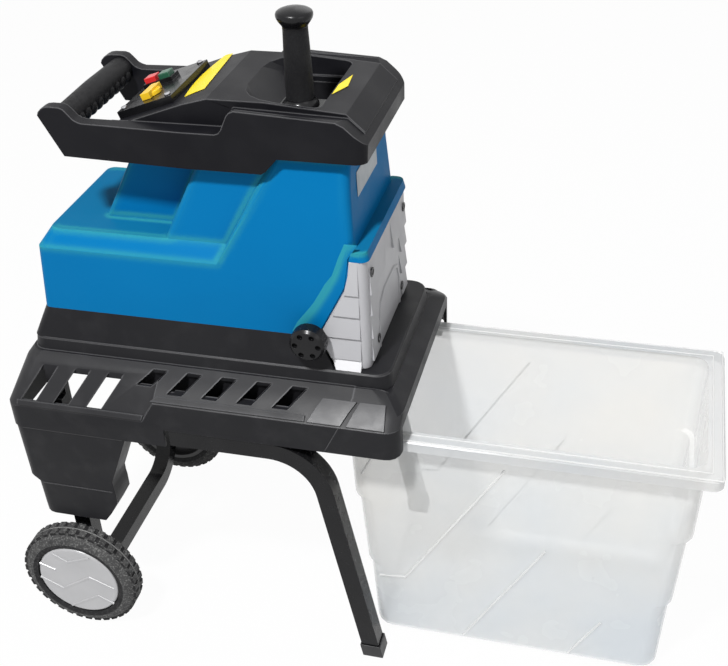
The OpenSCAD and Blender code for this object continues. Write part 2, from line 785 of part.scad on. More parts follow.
// Hood
module hood_side() {
    h = hood_z + hood_side_h;
    polygon([[-480, hood_z], [-510, h + 2], [-508, h + 7], [-503, h + 12], [-497, h + 15],
        [-490, h + 16], [-475, h + 16], [-469, h + 14], [-464, h + 9], [-457, h + 1], [-452, h - 2],
        [-445, h - 4], [-252, h - 3], [-246, h - 1], [-242, h + 4], [-233, h + 23], [-229, h + 28],
        [-222, h + 31], [-88, h + 24], [-77, h + 19], [-58, h + 2], [-49, h - 8], [-50, chute_top],
        [hood_step, chute_top], [hood_bay[1] + 6, hood_z + 4], [hood_bay[1], hood_z]]);
}
module hood_hump(w, low) {
    top = hump_top - w;
    polygon([[panel_x0 + w, low], [panel_x0 + w, panel_z0 - w], [panel_x1, panel_z1 - w],
        [-269, top], [-190, top], [-80, top - 9], [-56 - w, top - 31], [-56 - w, low]]);
}
module funnel_form(w, z0, z1) {
    x0 = slot_x - slot_gap / 2 - slot_ledge - w;
    x1 = slot_x + slot_gap / 2 + slot_ledge + w;
    loft([ring(x0, x1, slot_half + 4 + w, z0, 10, 10),
        ring(x0 - 45, x1 + 9, slot_half + 6 + w, z1, 60, 14)]);
}
module hood_corner() both_sides() difference() {
    box3(hood_end - hood_r, 0, -far, hood_r - hood_half, 0, 2 * far);
    translate([hood_end - hood_r, hood_r - hood_half, -cut]) cylinder(r = hood_r, h = 3 * far);
}
module hood_groove() both_sides() translate([hood_valley[0], 0, hood_z + hood_side_h + 31])
    rotate([0, hood_fall, 0]) rotate([90, 0, 90]) linear_extrude(hood_valley[1] - hood_valley[0])
        polygon([[-hump_half, 20], [-hump_half, -6], [-hump_half - 20, -2], [-hump_half - 22, 20]]);
module arm_trim() both_sides() linear_extrude(2 * far) polygon([[arm_taper[0], -hood_half],
    [arm_taper[1], arm_taper[2] - hood_half], [arm_taper[1], -far], [arm_taper[0], -far]]);
module arm_bay() both_sides() linear_extrude(hood_z + hood_side_h - 2 * wall)
    polygon([[hood_bay[0], arm_taper[2] - hood_half], [hood_bay[1], wall - hood_half],
        [hood_bay[1], -arm_in - 2], [hood_bay[0], -arm_in - 2]]);
module hood() color([0.17, 0.17, 0.18]) difference() {
    union() {
        difference() {
            union() {
                across(-hood_half, hood_half) hood_side();
                across(-hump_half, hump_half) hood_hump(0, chute_top);
            }
            across(-hump_half + wall, hump_half - wall) hood_hump(wall, 0);
            arm_bay();
            box3(hood_bay[1] - cut, hood_step + 1, wall - hood_half, hood_half - wall, 0, chute_top + 1);
        }
        intersection() {
            funnel_form(wall, funnel_z - funnel_floor, hump_top + 4);
            across(-hump_half, hump_half) hood_hump(1, chute_top);
        }
    }
    funnel_form(0, funnel_z, hump_top + 4);
    hood_corner();
    hood_groove();
    arm_trim();
    box3(slot_x - slot_gap / 2, slot_x + slot_gap / 2, -slot_half, slot_half, hood_z, far + hood_z);
    box3(-far, panel_x0, -arm_in, arm_in, 0, 2 * far);
    across(-hump_half, hump_half) polygon([[panel_x0 - cut, panel_z0], [panel_x0, panel_z0],
        [panel_x1, panel_z1], [panel_x1, far + hood_z], [panel_x0 - cut, far + hood_z]]);
    on_panel(2 * wall, 2 * wall - panel_w / 2, -3 * wall)
        cube([panel_len - 4 * wall, panel_w - 4 * wall, 4 * wall]);
    inlet_hole();
}
module inlet_block(x0, x1, grow) box3(panel_x0 + x0, panel_x0 + x1, -inlet_half - grow,
    inlet_half + grow, inlet_z - inlet_h / 2 - grow, inlet_z + inlet_h / 2 + grow);
module inlet_hole() inlet_block(-cut, 2 * wall, 0);
module handle_grip() color([0.14, 0.14, 0.15]) {
    both_sides() on_right(grip_x, -arm_in, grip_z)
        cylinder(r1 = grip_r * grip_slim, r2 = grip_r, h = arm_in);
    for (i = [-4:4]) translate([grip_x + grip_r * grip_bump[0], i * bump_pitch,
        grip_z - grip_r * grip_bump[1]]) sphere(r = grip_r * grip_bump[2]);
}
module control_panel() color([0.15, 0.15, 0.16]) difference() {
    union() {
        on_panel(0, -panel_w / 2, 0) cube([panel_len, panel_w, panel_t]);
        on_panel(button_base[0], start_at[1] - button_base[2] / 2, panel_t - 1)
            cube([button_base[1], button_base[2], button_base[3] + 1]);
    }
    button_hole(stop_at);
    button_hole(start_at);
    on_panel(selector_at[0], selector_at[1], -cut)
        cylinder(r = stem_r + run_fit, h = panel_t + 2 * cut);
    for (p = panel_screw_at) on_panel(p[0], p[1], panel_t - 2)
        cylinder(r = screw_head[0] + slide_fit, h = 2 * screw_head[1]);
}
module button_block(p, grow, z0, z1) on_panel(p[0], p[1], z0) translate([0, 0, (z1 - z0) / 2])
    cube([button_w + 2 * grow, button_w + 2 * grow, z1 - z0], center = true);
module button_hole(p) button_block(p, slide_fit, -cut, panel_t + button_base[3] + cut);
module button(p) {
    button_block(p, 0, -slide_fit - button_foot, panel_t + button_top);
    button_block(p, button_rim, -slide_fit - button_foot, -slide_fit);
}
module stop_button() color([0.86, 0.2, 0.2]) button(stop_at);
module start_button() color([0.16, 0.38, 0.26]) button(start_at);
module direction_selector() color([0.98, 0.84, 0.12]) on_panel(selector_at[0], selector_at[1]) {
    translate([0, 0, -button_foot]) cylinder(r = stem_r, h = panel_t + 2 * button_foot);
    translate([0, 0, panel_t + slide_fit]) {
        cylinder(r = selector_r, h = button_foot + 1);
        translate([-selector_bar[0] / 2, -selector_bar[1] / 2, 0]) cube(selector_bar);
    }
}
module panel_screws() color([0.7, 0.7, 0.72]) for (p = panel_screw_at)
    on_panel(p[0], p[1], panel_t - 2) cylinder(r = screw_head[0], h = screw_head[1]);
module switch_body() color([0.3, 0.3, 0.32]) on_panel(2 * switch_edge + 2, switch_edge - panel_w / 2) {
    l = panel_len - 3 * switch_edge - 2;
    w = panel_w - 2 * switch_edge;
    translate([0, 0, -switch_deep]) cube([l, w, switch_deep - switch_drop]);
    for (y = [0, w - duct_wall]) translate([0, y, -switch_drop]) cube([l, duct_wall, switch_drop]);
}
module power_inlet() color([0.1, 0.1, 0.1]) {
    difference() {
        union() {
            inlet_block(0, inlet_deep, 0);
            inlet_block(-duct_wall, 0, inlet_rim);
        }
        inlet_block(-wall, inlet_deep - wall, -inlet_rim);
    }
    for (y = [-pin_pitch, 0, pin_pitch]) on_x(panel_x0 + 2, [y, inlet_z])
        cylinder(r = 2, h = inlet_deep - wall - 1);
}

// Feed chute and cutting chamber
module feed_chute() color([0.35, 0.36, 0.38]) difference() {
    union() {
        duct_form(duct_wall, chamber_top, funnel_z - funnel_floor);
        box3(chamber_x0, chamber_x1, -slot_half, slot_half, chamber_top, chamber_top + 3);
    }
    duct_form(0, chamber_top - cut, funnel_z);
}
module duct_form(w, z0, z1) box3(slot_x - slot_gap / 2 - w, slot_x + slot_gap / 2 + w,
    -slot_half - w, slot_half + w, z0, z1);
module chamber_plates() color([0.45, 0.46, 0.48]) difference() {
    for (x = [chamber_x0, chamber_x1 - plate_w])
        box3(x, x + plate_w, plinth_rim - body_half, body_half - plinth_rim, floor_z, chamber_top);
    on_x(chamber_x0 - cut, drum_at) cylinder(r = drum_shaft_r + ring_t, h = far);
}
module plate_guides() color([0.5, 0.51, 0.53])
    for (z = [plate_low - slide_fit - guide_t, plate_high + slide_fit])
        box3(chamber_x0 + plate_w, chamber_x1 - plate_w, -plate_y - plate_t - guide_len,
            -plate_y + 2, z, z + guide_t);
module counter_plate() color([0.6, 0.61, 0.63]) difference() {
    union() {
        box3(chamber_x0 + plate_w + 2, chamber_x1 - plate_w - 2, -plate_y - plate_t, -plate_y,
            plate_low, plate_high);
        on_right(knob_at[0], plate_y + plate_t, knob_at[1]) cylinder(r = boss_r, h = plate_boss);
    }
    on_right(knob_at[0], plate_y + 2, knob_at[1]) cylinder(r = screw_r + run_fit, h = far);
}
module knob_bush() color([0.5, 0.5, 0.52]) on_right(knob_at[0], body_half - bush_len, knob_at[1]) {
    tube_on(bush_r, screw_r + run_fit, bush_len);
    translate([0, 0, bush_len])
        tube_on(bush_r + bush_rim, screw_r + run_fit, knob_y - body_half - slide_fit);
}
module adjusting_screw() color([0.65, 0.65, 0.67]) on_right(knob_at[0], plate_y + screw_root, knob_at[1])
    cylinder(r = screw_r, h = knob_y + knob_d - knob_floor - plate_y - screw_root);
module adjusting_knob() color([0.13, 0.13, 0.14]) on_right(knob_at[0], knob_y, knob_at[1]) difference() {
    rotate_extrude() polygon([[0, 0], [knob_r - 3, 0], [knob_r, 3], [knob_r, knob_d - 4],
        [knob_r - 4, knob_d], [0, knob_d]]);
    translate([0, 0, -cut]) cylinder(r = screw_r, h = knob_d - knob_floor + cut);
    for (a = [0:60:300]) rotate(a) translate([knob_r - 9, 0, knob_d - 5]) cylinder(r = 4, h = 6);
}
module cutting_drum() color([0.42, 0.43, 0.45]) on_x(drum_x0, drum_at) linear_extrude(drum_len)
    difference() {
        polygon([for (k = [0:blade_count - 1], p = [[0, 1], [0.14, 1], [0.3, 0.84], [0.92, 0.84]])
            let (a = 360 * (k + p[0]) / blade_count) drum_r * p[1] * [cos(a), sin(a)]]);
        circle(r = drum_shaft_r);
    }
module drum_shaft() color([0.6, 0.6, 0.62]) on_x(case_x0 + 1, drum_at)
    cylinder(r = drum_shaft_r, h = chamber_x1 - case_x0 - 1);

// Gearbox
module case_outline(w) {
    translate(counter_at) circle(r = m1 * counter_n / 2 + case_gap + w);
    translate(drum_at) circle(r = m2 * output_n / 2 + case_gap + w);
    translate(motor_at) circle(r = motor_ring_r + 2 + w);
}
module on_case(x) translate([x, 0, 0]) rotate([90, 0, 90]) children();
module wall_holes(x) {
    on_x(x, counter_at) cylinder(r = counter_shaft_r + ring_t, h = plate_w + 2 * cut);
    on_x(x, drum_at) cylinder(r = drum_shaft_r + ring_t, h = plate_w + 2 * cut);
}
module gearbox_case() color([0.5, 0.52, 0.54]) difference() {
    union() {
        on_case(case_x0) linear_extrude(case_len - plate_w) case_outline(case_wall);
        box3(case_x0, case_x1 - plate_w, drum_at[0] - case_foot, drum_at[0] + case_foot,
            floor_z, drum_at[1] - foot_top);
    }
    on_case(case_x0 + plate_w) linear_extrude(case_len) case_outline(0);
    wall_holes(case_x0 - cut);
    on_x(case_x0 - cut, motor_at) cylinder(r = motor_shaft_r + 1, h = plate_w + 2 * cut);
}
module gearbox_cover() color([0.55, 0.57, 0.59]) difference() {
    on_case(case_x1 - plate_w) linear_extrude(plate_w) case_outline(case_wall);
    wall_holes(case_x1 - plate_w - cut);
}
module gear_bearings() color([0.7, 0.7, 0.72]) {
    for (x = [case_x0, case_x1 - plate_w]) {
        on_x(x, counter_at) tube_on(counter_shaft_r + ring_t, counter_shaft_r + run_fit, plate_w);
        on_x(x, drum_at) tube_on(drum_shaft_r + ring_t, drum_shaft_r + run_fit, plate_w);
    }
    for (x = [chamber_x0, chamber_x1 - plate_w])
        on_x(x, drum_at) tube_on(drum_shaft_r + ring_t, drum_shaft_r + run_fit, plate_w);
}
module motor_shaft() color([0.6, 0.6, 0.62]) {
    on_x(fan_x, motor_at) cylinder(r = motor_shaft_r, h = stage1_x - fan_x);
    on_x(stage1_x, motor_at) linear_extrude(stage1_w + 2) gear_outline(pinion_n, m1, mesh1);
}
module counter_shaft() color([0.6, 0.6, 0.62]) {
    on_x(case_x0, counter_at) cylinder(r = counter_shaft_r, h = case_len);
    on_x(stage2_x - 1, counter_at) linear_extrude(stage2_w + 2) gear_outline(drive_n, m2, drive_phase);
}
module gear(n, m, phase, w, bore) linear_extrude(w) difference() {
    gear_outline(n, m, phase);
    circle(r = bore);
}
module counter_gear() color([0.66, 0.64, 0.58]) on_x(stage1_x + 1, counter_at)
    gear(counter_n, m1, counter_phase, stage1_w, counter_shaft_r);
module output_gear() color([0.66, 0.64, 0.58]) on_x(stage2_x, drum_at)
    gear(output_n, m2, output_phase, stage2_w, drum_shaft_r);

// Motor
module motor_stator() color([0.55, 0.56, 0.58]) on_x(stator_x, motor_at)
    tube_on(motor_r, rotor_r + air_gap, stator_len);
module shield(x) difference() {
    union() {
        on_x(x, motor_at) cylinder(r = motor_r, h = shield_t);
        box3(x, x + shield_t, motor_at[0] - shield_foot, motor_at[0] + shield_foot,
            floor_z, motor_at[1] - foot_top);
    }
    on_x(x - cut, motor_at) cylinder(r = motor_ring_r, h = shield_t + 2 * cut);
}
module motor_shields() color([0.6, 0.61, 0.63]) {
    shield(stator_x - shield_t);
    shield(stator_x + stator_len);
}
module motor_bearings() color([0.72, 0.72, 0.74])
    for (x = [stator_x - shield_t + 4, stator_x + stator_len + 4])
        on_x(x, motor_at) tube_on(motor_ring_r, motor_shaft_r + run_fit, motor_ring_w);
module rotor_core() color([0.5, 0.45, 0.4]) on_x(stator_x + 2, motor_at)
    tube_on(rotor_r, motor_shaft_r, stator_len - 4);
module cooling_fan() color([0.2, 0.2, 0.22]) on_x(fan_x, motor_at) {
    tube_on(fan_hub_r, motor_shaft_r, fan_w);
    tube_on(fan_r, fan_hub_r - 1, 3);
    for (k = [1:fan_blades]) rotate(360 * k / fan_blades)
        translate([fan_hub_r - 1, -1.5, 2]) cube([fan_r - fan_hub_r, 3, fan_w - 4]);
}
module capacitor() color([0.75, 0.75, 0.77]) on_x(can_x, can_at) cylinder(r = can_r, h = can_len);

// Plunger
module at_plunger(z) translate([slot_x, plunger_y, funnel_z + z]) children();
module plunger() color([0.12, 0.12, 0.13]) at_plunger(0) {
    base = plunger_foot[2];
    top = plunger_h + cap_h;
    translate([-plunger_foot[0] / 2, -plunger_foot[1] / 2, 0]) cube(plunger_foot);
    rotate_extrude() polygon([[0, base], [23, base], [20, 2 * base], [16, 2 * base + 3],
        [17, plunger_h * 0.7], [15.5, plunger_h * 0.95], [22, plunger_h + 2], [24.5, plunger_h + 10],
        [22, top - 4], [8, top], [0, top]]);
}
module plunger_paddle() color([0.14, 0.14, 0.15]) at_plunger(-paddle[2])
    translate([-paddle[0] / 2, -paddle[1] / 2, 0]) cube(paddle);

place() deck();
place() deck_end_frame();
place() leg_cover_right();
place() leg_cover_left();
place() front_leg_right();
place() front_leg_left();
place() foot_caps();
place() leg_bolts();
place() rear_leg_frame();
place() stub_axles();
place() box_rails();
place() lower_housing();
place() main_cover();
place() drum_cover();
place() cover_screws();
place() hood();
place() handle_grip();
place() control_panel();
place() panel_screws();
place() switch_body();
place() power_inlet();
place() feed_chute();
place() gearbox_case();
place() gearbox_cover();
place() gear_bearings();
place() motor_stator();
place() motor_shields();
place() motor_bearings();
place() capacitor();
place() chamber_plates();
place() plate_guides();
place() knob_bush();
place() motor_shaft();
place() rotor_core();
place() cooling_fan();
place() counter_shaft();
place() counter_gear();
place() drum_shaft();
place() output_gear();
place() cutting_drum();
place() counter_plate();
place() adjusting_screw();
place() adjusting_knob();
place() collection_box();
place() plunger();
place() plunger_paddle();
place() tyre_right();
place() tyre_left();
place() rim_right();
place() rim_left();
place() hub_cap_right();
place() hub_cap_left();
place() start_button();
place() stop_button();
place() direction_selector();
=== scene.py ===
import bpy
import bmesh
import json
import math
from mathutils import Matrix, Vector


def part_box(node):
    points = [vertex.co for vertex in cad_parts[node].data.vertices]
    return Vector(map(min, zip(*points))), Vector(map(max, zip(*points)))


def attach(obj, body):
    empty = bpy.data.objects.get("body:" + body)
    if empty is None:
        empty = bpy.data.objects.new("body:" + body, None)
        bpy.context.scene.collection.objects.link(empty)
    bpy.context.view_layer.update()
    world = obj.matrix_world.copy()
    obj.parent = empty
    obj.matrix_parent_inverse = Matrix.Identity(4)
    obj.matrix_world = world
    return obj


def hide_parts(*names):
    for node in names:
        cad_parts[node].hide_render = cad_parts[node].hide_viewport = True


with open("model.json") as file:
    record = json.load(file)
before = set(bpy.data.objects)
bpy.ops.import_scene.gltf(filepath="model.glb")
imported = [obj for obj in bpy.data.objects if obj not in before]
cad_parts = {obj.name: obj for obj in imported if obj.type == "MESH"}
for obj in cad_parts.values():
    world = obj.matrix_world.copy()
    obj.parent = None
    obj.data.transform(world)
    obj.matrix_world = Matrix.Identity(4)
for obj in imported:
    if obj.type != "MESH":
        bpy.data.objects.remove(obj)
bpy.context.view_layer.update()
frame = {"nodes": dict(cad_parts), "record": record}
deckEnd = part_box("deck_end_frame")[1].x  # the layout below counts from the deck's box end
weld = 2e-5  # metres, points closer than this are one
sides = ((-1, "Right"), (1, "Left"))


def mm(x, y, z):  # millimetres from the deck's box end, the mid-plane and the floor
    return Vector((deckEnd + x / 1000, y / 1000, z / 1000))


def wire(tree, a, b):
    tree.links.new(a, b)


def addNode(tree, kind, **values):
    node = tree.nodes.new(kind)
    for key, value in values.items():
        setattr(node, key, value)
    return node


def noiseFrom(tree, coords, scale, detail):
    noise = addNode(tree, "ShaderNodeTexNoise")
    noise.inputs["Scale"].default_value = scale
    noise.inputs["Detail"].default_value = detail
    wire(tree, coords, noise.inputs["Vector"])
    return noise.outputs["Fac"]


def ranged(tree, value, low, high, span=(0.3, 0.7)):  # this span holds most of a noise
    node = addNode(tree, "ShaderNodeMapRange")
    for label, amount in zip(("From Min", "From Max", "To Min", "To Max"), (*span, low, high)):
        node.inputs[label].default_value = amount
    wire(tree, value, node.inputs["Value"])
    return node.outputs["Result"]


def laidOver(tree, tint, colour, share):
    mix = addNode(tree, "ShaderNodeMix", data_type="RGBA")
    mix.inputs["B"].default_value = (*colour, 1)
    wire(tree, tint, mix.inputs["A"])
    wire(tree, share, mix.inputs["Factor"])
    return mix.outputs["Result"]


noiseDetail = {"tone": 4.0, "dust": 6.0, "gloss": 3.0, "grain": 3.0}
# settings of the painted edge highlight
edgeGlint = {"samples": 8, "fade": 16, "lift": 0.2}


def dusted(tree, coords, tint, colour, scale, share):
    # pale dust that gathers in blotches
    blotches = noiseFrom(tree, coords, scale, noiseDetail["dust"])
    return laidOver(tree, tint, colour, ranged(tree, blotches, -share, share))


def paintedEdgeHighlight(tree, tint, colour, reach, turned, upward):
    # painted highlight: paler edges where they look up and to a side, reach in millimetres
    soft = addNode(tree, "ShaderNodeBevel", samples=edgeGlint["samples"])
    soft.inputs["Radius"].default_value = reach / 1000
    turn = addNode(tree, "ShaderNodeVectorMath", operation="DOT_PRODUCT")
    wire(tree, soft.outputs["Normal"], turn.inputs[0])
    wire(tree, addNode(tree, "ShaderNodeNewGeometry").outputs["Normal"], turn.inputs[1])
    share = ranged(tree, turn.outputs["Value"], 0, 1, (1 - turned / edgeGlint["fade"], 1 - turned))
    split = addNode(tree, "ShaderNodeSeparateXYZ")
    wire(tree, soft.outputs["Normal"], split.inputs["Vector"])
    outward = addNode(tree, "ShaderNodeMath", operation="ABSOLUTE")
    wire(tree, split.outputs["Y"], outward.inputs[0])
    for part in (split.outputs["Z"], outward.outputs[0]):
        both = addNode(tree, "ShaderNodeMath", operation="MULTIPLY")
        wire(tree, share, both.inputs[0])
        wire(tree, ranged(tree, part, 0, 1, (upward, upward + edgeGlint["lift"])), both.inputs[1])
        share = both.outputs[0]
    return laidOver(tree, tint, colour, share)


def surface(name, colour, second, rough, patch, grain, bump, depth=0.0004, spread=0.06, finer=3,
            metal=0.0, coat=0.0, alpha=1.0, specular=0.5, dust=None, edge=None):
    material = bpy.data.materials.new(name)
    material.use_nodes = True
    tree = material.node_tree
    shader = tree.nodes["Principled BSDF"]
    coords = addNode(tree, "ShaderNodeTexCoord").outputs["Object"]
    mix = addNode(tree, "ShaderNodeMix", data_type="RGBA")
    mix.inputs["A"].default_value = (*colour, 1)
    mix.inputs["B"].default_value = (*second, 1)
    tone = noiseFrom(tree, coords, patch, noiseDetail["tone"])
    wire(tree, ranged(tree, tone, 0, 1), mix.inputs["Factor"])
    tint = mix.outputs["Result"]
    if dust:
        tint = dusted(tree, coords, tint, *dust)
    if edge:
        tint = paintedEdgeHighlight(tree, tint, *edge)
    wire(tree, tint, shader.inputs["Base Color"])
    gloss = noiseFrom(tree, coords, patch * finer, noiseDetail["gloss"])
    wire(tree, ranged(tree, gloss, rough - spread, rough + spread), shader.inputs["Roughness"])
    relief = addNode(tree, "ShaderNodeBump")
    relief.inputs["Strength"].default_value = bump
    relief.inputs["Distance"].default_value = depth
    wire(tree, noiseFrom(tree, coords, grain, noiseDetail["grain"]), relief.inputs["Height"])
    wire(tree, relief.outputs["Normal"], shader.inputs["Normal"])
    shader.inputs["Metallic"].default_value = metal
    shader.inputs["Coat Weight"].default_value = coat
    shader.inputs["Alpha"].default_value = alpha
    shader.inputs["Specular IOR Level"].default_value = specular
    return material


# dust is its colour, scale and share; edge is a painted highlight on edges, as its colour, reach, turn and
# least upward look
looks = {
    "deckPlastic": dict(colour=(0.011, 0.011, 0.013), second=(0.015, 0.015, 0.017), rough=0.44, patch=7,
                        grain=900, bump=0.25, specular=0.17, dust=((0.070, 0.070, 0.073), 26.0, 0.12),
                        edge=((0.11, 0.11, 0.115), 4, 0.15, 0.05)),
    # painted highlight: a paler black for the deck's slopes
    "slopePlastic": dict(colour=(0.018, 0.018, 0.020), second=(0.025, 0.025, 0.027), rough=0.44, patch=7,
                         grain=900, bump=0.25, specular=0.24, dust=((0.090, 0.090, 0.093), 26.0, 0.12),
                         edge=((0.11, 0.11, 0.115), 4, 0.15, 0.05)),
    "plinthPlastic": dict(colour=(0.010, 0.010, 0.012), second=(0.014, 0.014, 0.016), rough=0.44, patch=7,
                          grain=900, bump=0.25, specular=0.15, dust=((0.060, 0.060, 0.063), 26.0, 0.1)),
    # painted highlight: the paler finish of the deck's rounded edges
    "deckEdge": dict(colour=(0.050, 0.050, 0.054), second=(0.075, 0.075, 0.080), rough=0.34, patch=7,
                     grain=900, bump=0.1, specular=0.4),
    "padPlastic": dict(colour=(0.026, 0.026, 0.029), second=(0.042, 0.042, 0.046), rough=0.4, patch=12,
                       grain=900, bump=0.25, specular=0.4),
    "hoodPlastic": dict(colour=(0.006, 0.006, 0.008), second=(0.009, 0.009, 0.011), rough=0.42, patch=6,
                        grain=1200, bump=0.3, specular=0.11, dust=((0.045, 0.045, 0.048), 18.0, 0.08),
                        edge=((0.11, 0.11, 0.115), 3.5, 0.15, 0.05)),
    # painted highlight: the paler finish of the hood's rounded edges
    "hoodEdge": dict(colour=(0.050, 0.050, 0.054), second=(0.075, 0.075, 0.080), rough=0.36, patch=6,
                     grain=1200, bump=0.1, specular=0.4),
    "coverBlue": dict(colour=(0.0010, 0.160, 0.405), second=(0.0014, 0.170, 0.420), rough=0.45, patch=5,
                      grain=500, bump=0.05, specular=0.04, edge=((0.032, 0.310, 0.360), 17, 0.04, 0.06)),
    # painted shade: a darker blue for faces that look at the sky
    "coverTop": dict(colour=(0.003, 0.142, 0.315), second=(0.005, 0.158, 0.325), rough=0.5, patch=5,
                     grain=500, bump=0.05, specular=0.03, edge=((0.032, 0.310, 0.360), 17, 0.04, 0.06)),
    # painted highlight: the teal finish of the blue's bright facets
    "coverEdge": dict(colour=(0.020, 0.270, 0.370), second=(0.025, 0.290, 0.370), rough=0.38, patch=5,
                      grain=500, bump=0.05, specular=0.1),
    "coverGrey": dict(colour=(0.51, 0.51, 0.53), second=(0.475, 0.475, 0.495), rough=0.42, patch=12,
                      grain=600, bump=0.06, specular=0.4),
    # painted highlight: a near-white grey for the drum cover's foot
    "coverFoot": dict(colour=(0.80, 0.80, 0.82), second=(0.74, 0.74, 0.76), rough=0.35, patch=12, grain=600,
                      bump=0.04, specular=0.5),
    "legPaint": dict(colour=(0.006, 0.006, 0.007), second=(0.009, 0.009, 0.010), rough=0.24, patch=30,
                     grain=260, bump=0.05, coat=0.04, specular=0.2),
    "bareSteel": dict(colour=(0.55, 0.55, 0.57), second=(0.45, 0.45, 0.47), rough=0.3, patch=40, grain=300,
                      bump=0.05, metal=1.0),
    "castMetal": dict(colour=(0.42, 0.43, 0.45), second=(0.36, 0.37, 0.39), rough=0.5, patch=30, grain=420,
                      bump=0.2, metal=0.9),
    "dullIron": dict(colour=(0.22, 0.22, 0.23), second=(0.28, 0.27, 0.26), rough=0.5, patch=40, grain=420,
                     bump=0.2, metal=0.9),
    "windings": dict(colour=(0.40, 0.22, 0.12), second=(0.30, 0.20, 0.14), rough=0.45, patch=60, grain=420,
                     bump=0.2, metal=0.7),
    "tyreRubber": dict(colour=(0.010, 0.010, 0.011), second=(0.020, 0.020, 0.021), rough=0.75, patch=30,
                       grain=500, bump=0.3, specular=0.25, dust=((0.14, 0.14, 0.14), 240.0, 0.25)),
    "tyreDust": dict(colour=(0.045, 0.045, 0.046), second=(0.080, 0.080, 0.080), rough=0.85, patch=60,
                     grain=500, bump=0.3, specular=0.25, dust=((0.42, 0.42, 0.41), 320.0, 0.4)),
    "tyreLine": dict(colour=(0.17, 0.17, 0.17), second=(0.30, 0.30, 0.295), rough=0.85, patch=60, grain=500,
                     bump=0.2, specular=0.25),
    "rimBlack": dict(colour=(0.014, 0.014, 0.015), second=(0.020, 0.020, 0.021), rough=0.45, patch=20,
                     grain=700, bump=0.15),
    "hubSilver": dict(colour=(0.53, 0.53, 0.54), second=(0.48, 0.48, 0.49), rough=0.34, patch=18, grain=900,
                      bump=0.04, metal=0.25),
    # the cool second tone of the box, in random patches, is a painted reflection of the blue body
    "boxMilky": dict(colour=(1.0, 0.975, 0.925), second=(0.80, 0.855, 0.905), rough=0.24, patch=3, grain=18,
                     bump=0.03, depth=0.001, alpha=0.36),
    "boxRim": dict(colour=(0.80, 0.80, 0.79), second=(0.70, 0.73, 0.76), rough=0.2, patch=5, grain=18,
                   bump=0.03, depth=0.001, alpha=0.55),
    "boxLine": dict(colour=(1.0, 1.0, 0.99), second=(0.96, 0.97, 0.97), rough=0.2, patch=5, grain=18,
                    bump=0.03, depth=0.001, alpha=0.7),
    "gripBlack": dict(colour=(0.007, 0.007, 0.008), second=(0.011, 0.011, 0.012), rough=0.5, patch=40,
                      grain=1100, bump=0.9, depth=0.0008, specular=0.14,
                      dust=((0.055, 0.055, 0.058), 800.0, 0.3)),
    "glossBlack": dict(colour=(0.006, 0.006, 0.007), second=(0.010, 0.010, 0.011), rough=0.24, patch=20,
                       grain=700, bump=0.04, specular=0.24),
    "stopRed": dict(colour=(0.70, 0.030, 0.032), second=(0.64, 0.026, 0.026), rough=0.3, patch=40,
                    grain=500, bump=0.03, specular=0.35),
    "startGreen": dict(colour=(0.014, 0.088, 0.048), second=(0.018, 0.10, 0.055), rough=0.3, patch=40,
                       grain=500, bump=0.03),
    "selectYellow": dict(colour=(0.90, 0.58, 0.02), second=(0.84, 0.52, 0.02), rough=0.32, patch=40,
                         grain=500, bump=0.03, specular=0.35),
    "plateYellow": dict(colour=(0.95, 0.76, 0.012), second=(0.92, 0.72, 0.01), rough=0.4, patch=14,
                        grain=300, bump=0.03, specular=0.3),
    "plateSilver": dict(colour=(0.36, 0.40, 0.43), second=(0.28, 0.33, 0.36), rough=0.35, patch=24,
                        grain=300, bump=0.05),
}
finish = {name: surface(name, **look) for name, look in looks.items()}
print("finishes:", len(finish))


def linkMesh(name, mesh):
    piece = bpy.data.objects.new(name, mesh)
    bpy.context.scene.collection.objects.link(piece)
    return piece


def bake(piece):  # what the modifiers give, as a plain mesh
    deps = bpy.context.evaluated_depsgraph_get()
    mesh = bpy.data.meshes.new_from_object(piece.evaluated_get(deps), preserve_all_data_layers=True,
                                           depsgraph=deps)
    piece.modifiers.clear()
    old = piece.data
    piece.data = mesh
    mesh.name = piece.name
    bpy.data.meshes.remove(old)
    return piece


def smooth(piece, angle=32):
    mesh = piece.data
    mesh.polygons.foreach_set("use_smooth", [True] * len(mesh.polygons))
    mesh.set_sharp_from_angle(angle=math.radians(angle))


def settle(piece, body, materials, nodes=()):
    if not piece.data.materials:
        for key in materials:
            piece.data.materials.append(finish[key])
    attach(piece, body)
    if nodes:
        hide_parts(*nodes)
    return piece


def fromFaces(name, points, faces):
    bm = bmesh.new()
    verts = [bm.verts.new(p) for p in points]
    for face in faces:
        bm.faces.new([verts[i] for i in face])
    bmesh.ops.recalc_face_normals(bm, faces=bm.faces)
    mesh = bpy.data.meshes.new(name)
    bm.to_mesh(mesh)
    bm.free()
    return linkMesh(name, mesh)


def rounded(piece, width, segments=2, angle=30, edgeSlot=-1):
    bevel = piece.modifiers.new("round", "BEVEL")
    bevel.width = width / 1000
    bevel.segments = segments
    bevel.limit_method = "ANGLE"
    bevel.angle_limit = math.radians(angle)
    bevel.material = edgeSlot
    bevel.use_clamp_overlap = True
    bake(piece)
    smooth(piece)
    even = piece.modifiers.new("even", "WEIGHTED_NORMAL")  # keeps broad faces flat beside rounded edges
    even.keep_sharp = True
    bake(piece)
    return piece


def dress(name, node, body, materials, width, segments, edgeSlot=-1, flat=0.4):
    # a node's solid with its flat faces whole again and its edges rounded
    bm = bmesh.new()
    bm.from_mesh(frame["nodes"][node].data)
    bmesh.ops.remove_doubles(bm, verts=bm.verts, dist=weld)
    bmesh.ops.dissolve_limit(bm, angle_limit=math.radians(flat), verts=bm.verts, edges=bm.edges)
    mesh = bpy.data.meshes.new(name)
    bm.to_mesh(mesh)
    bm.free()
    mesh.materials.clear()
    for key in materials:
        mesh.materials.append(finish[key])
    for polygon in mesh.polygons:
        polygon.material_index = 0
    piece = rounded(linkMesh(name, mesh), width, segments, edgeSlot=edgeSlot)
    return settle(piece, body, materials, [node])


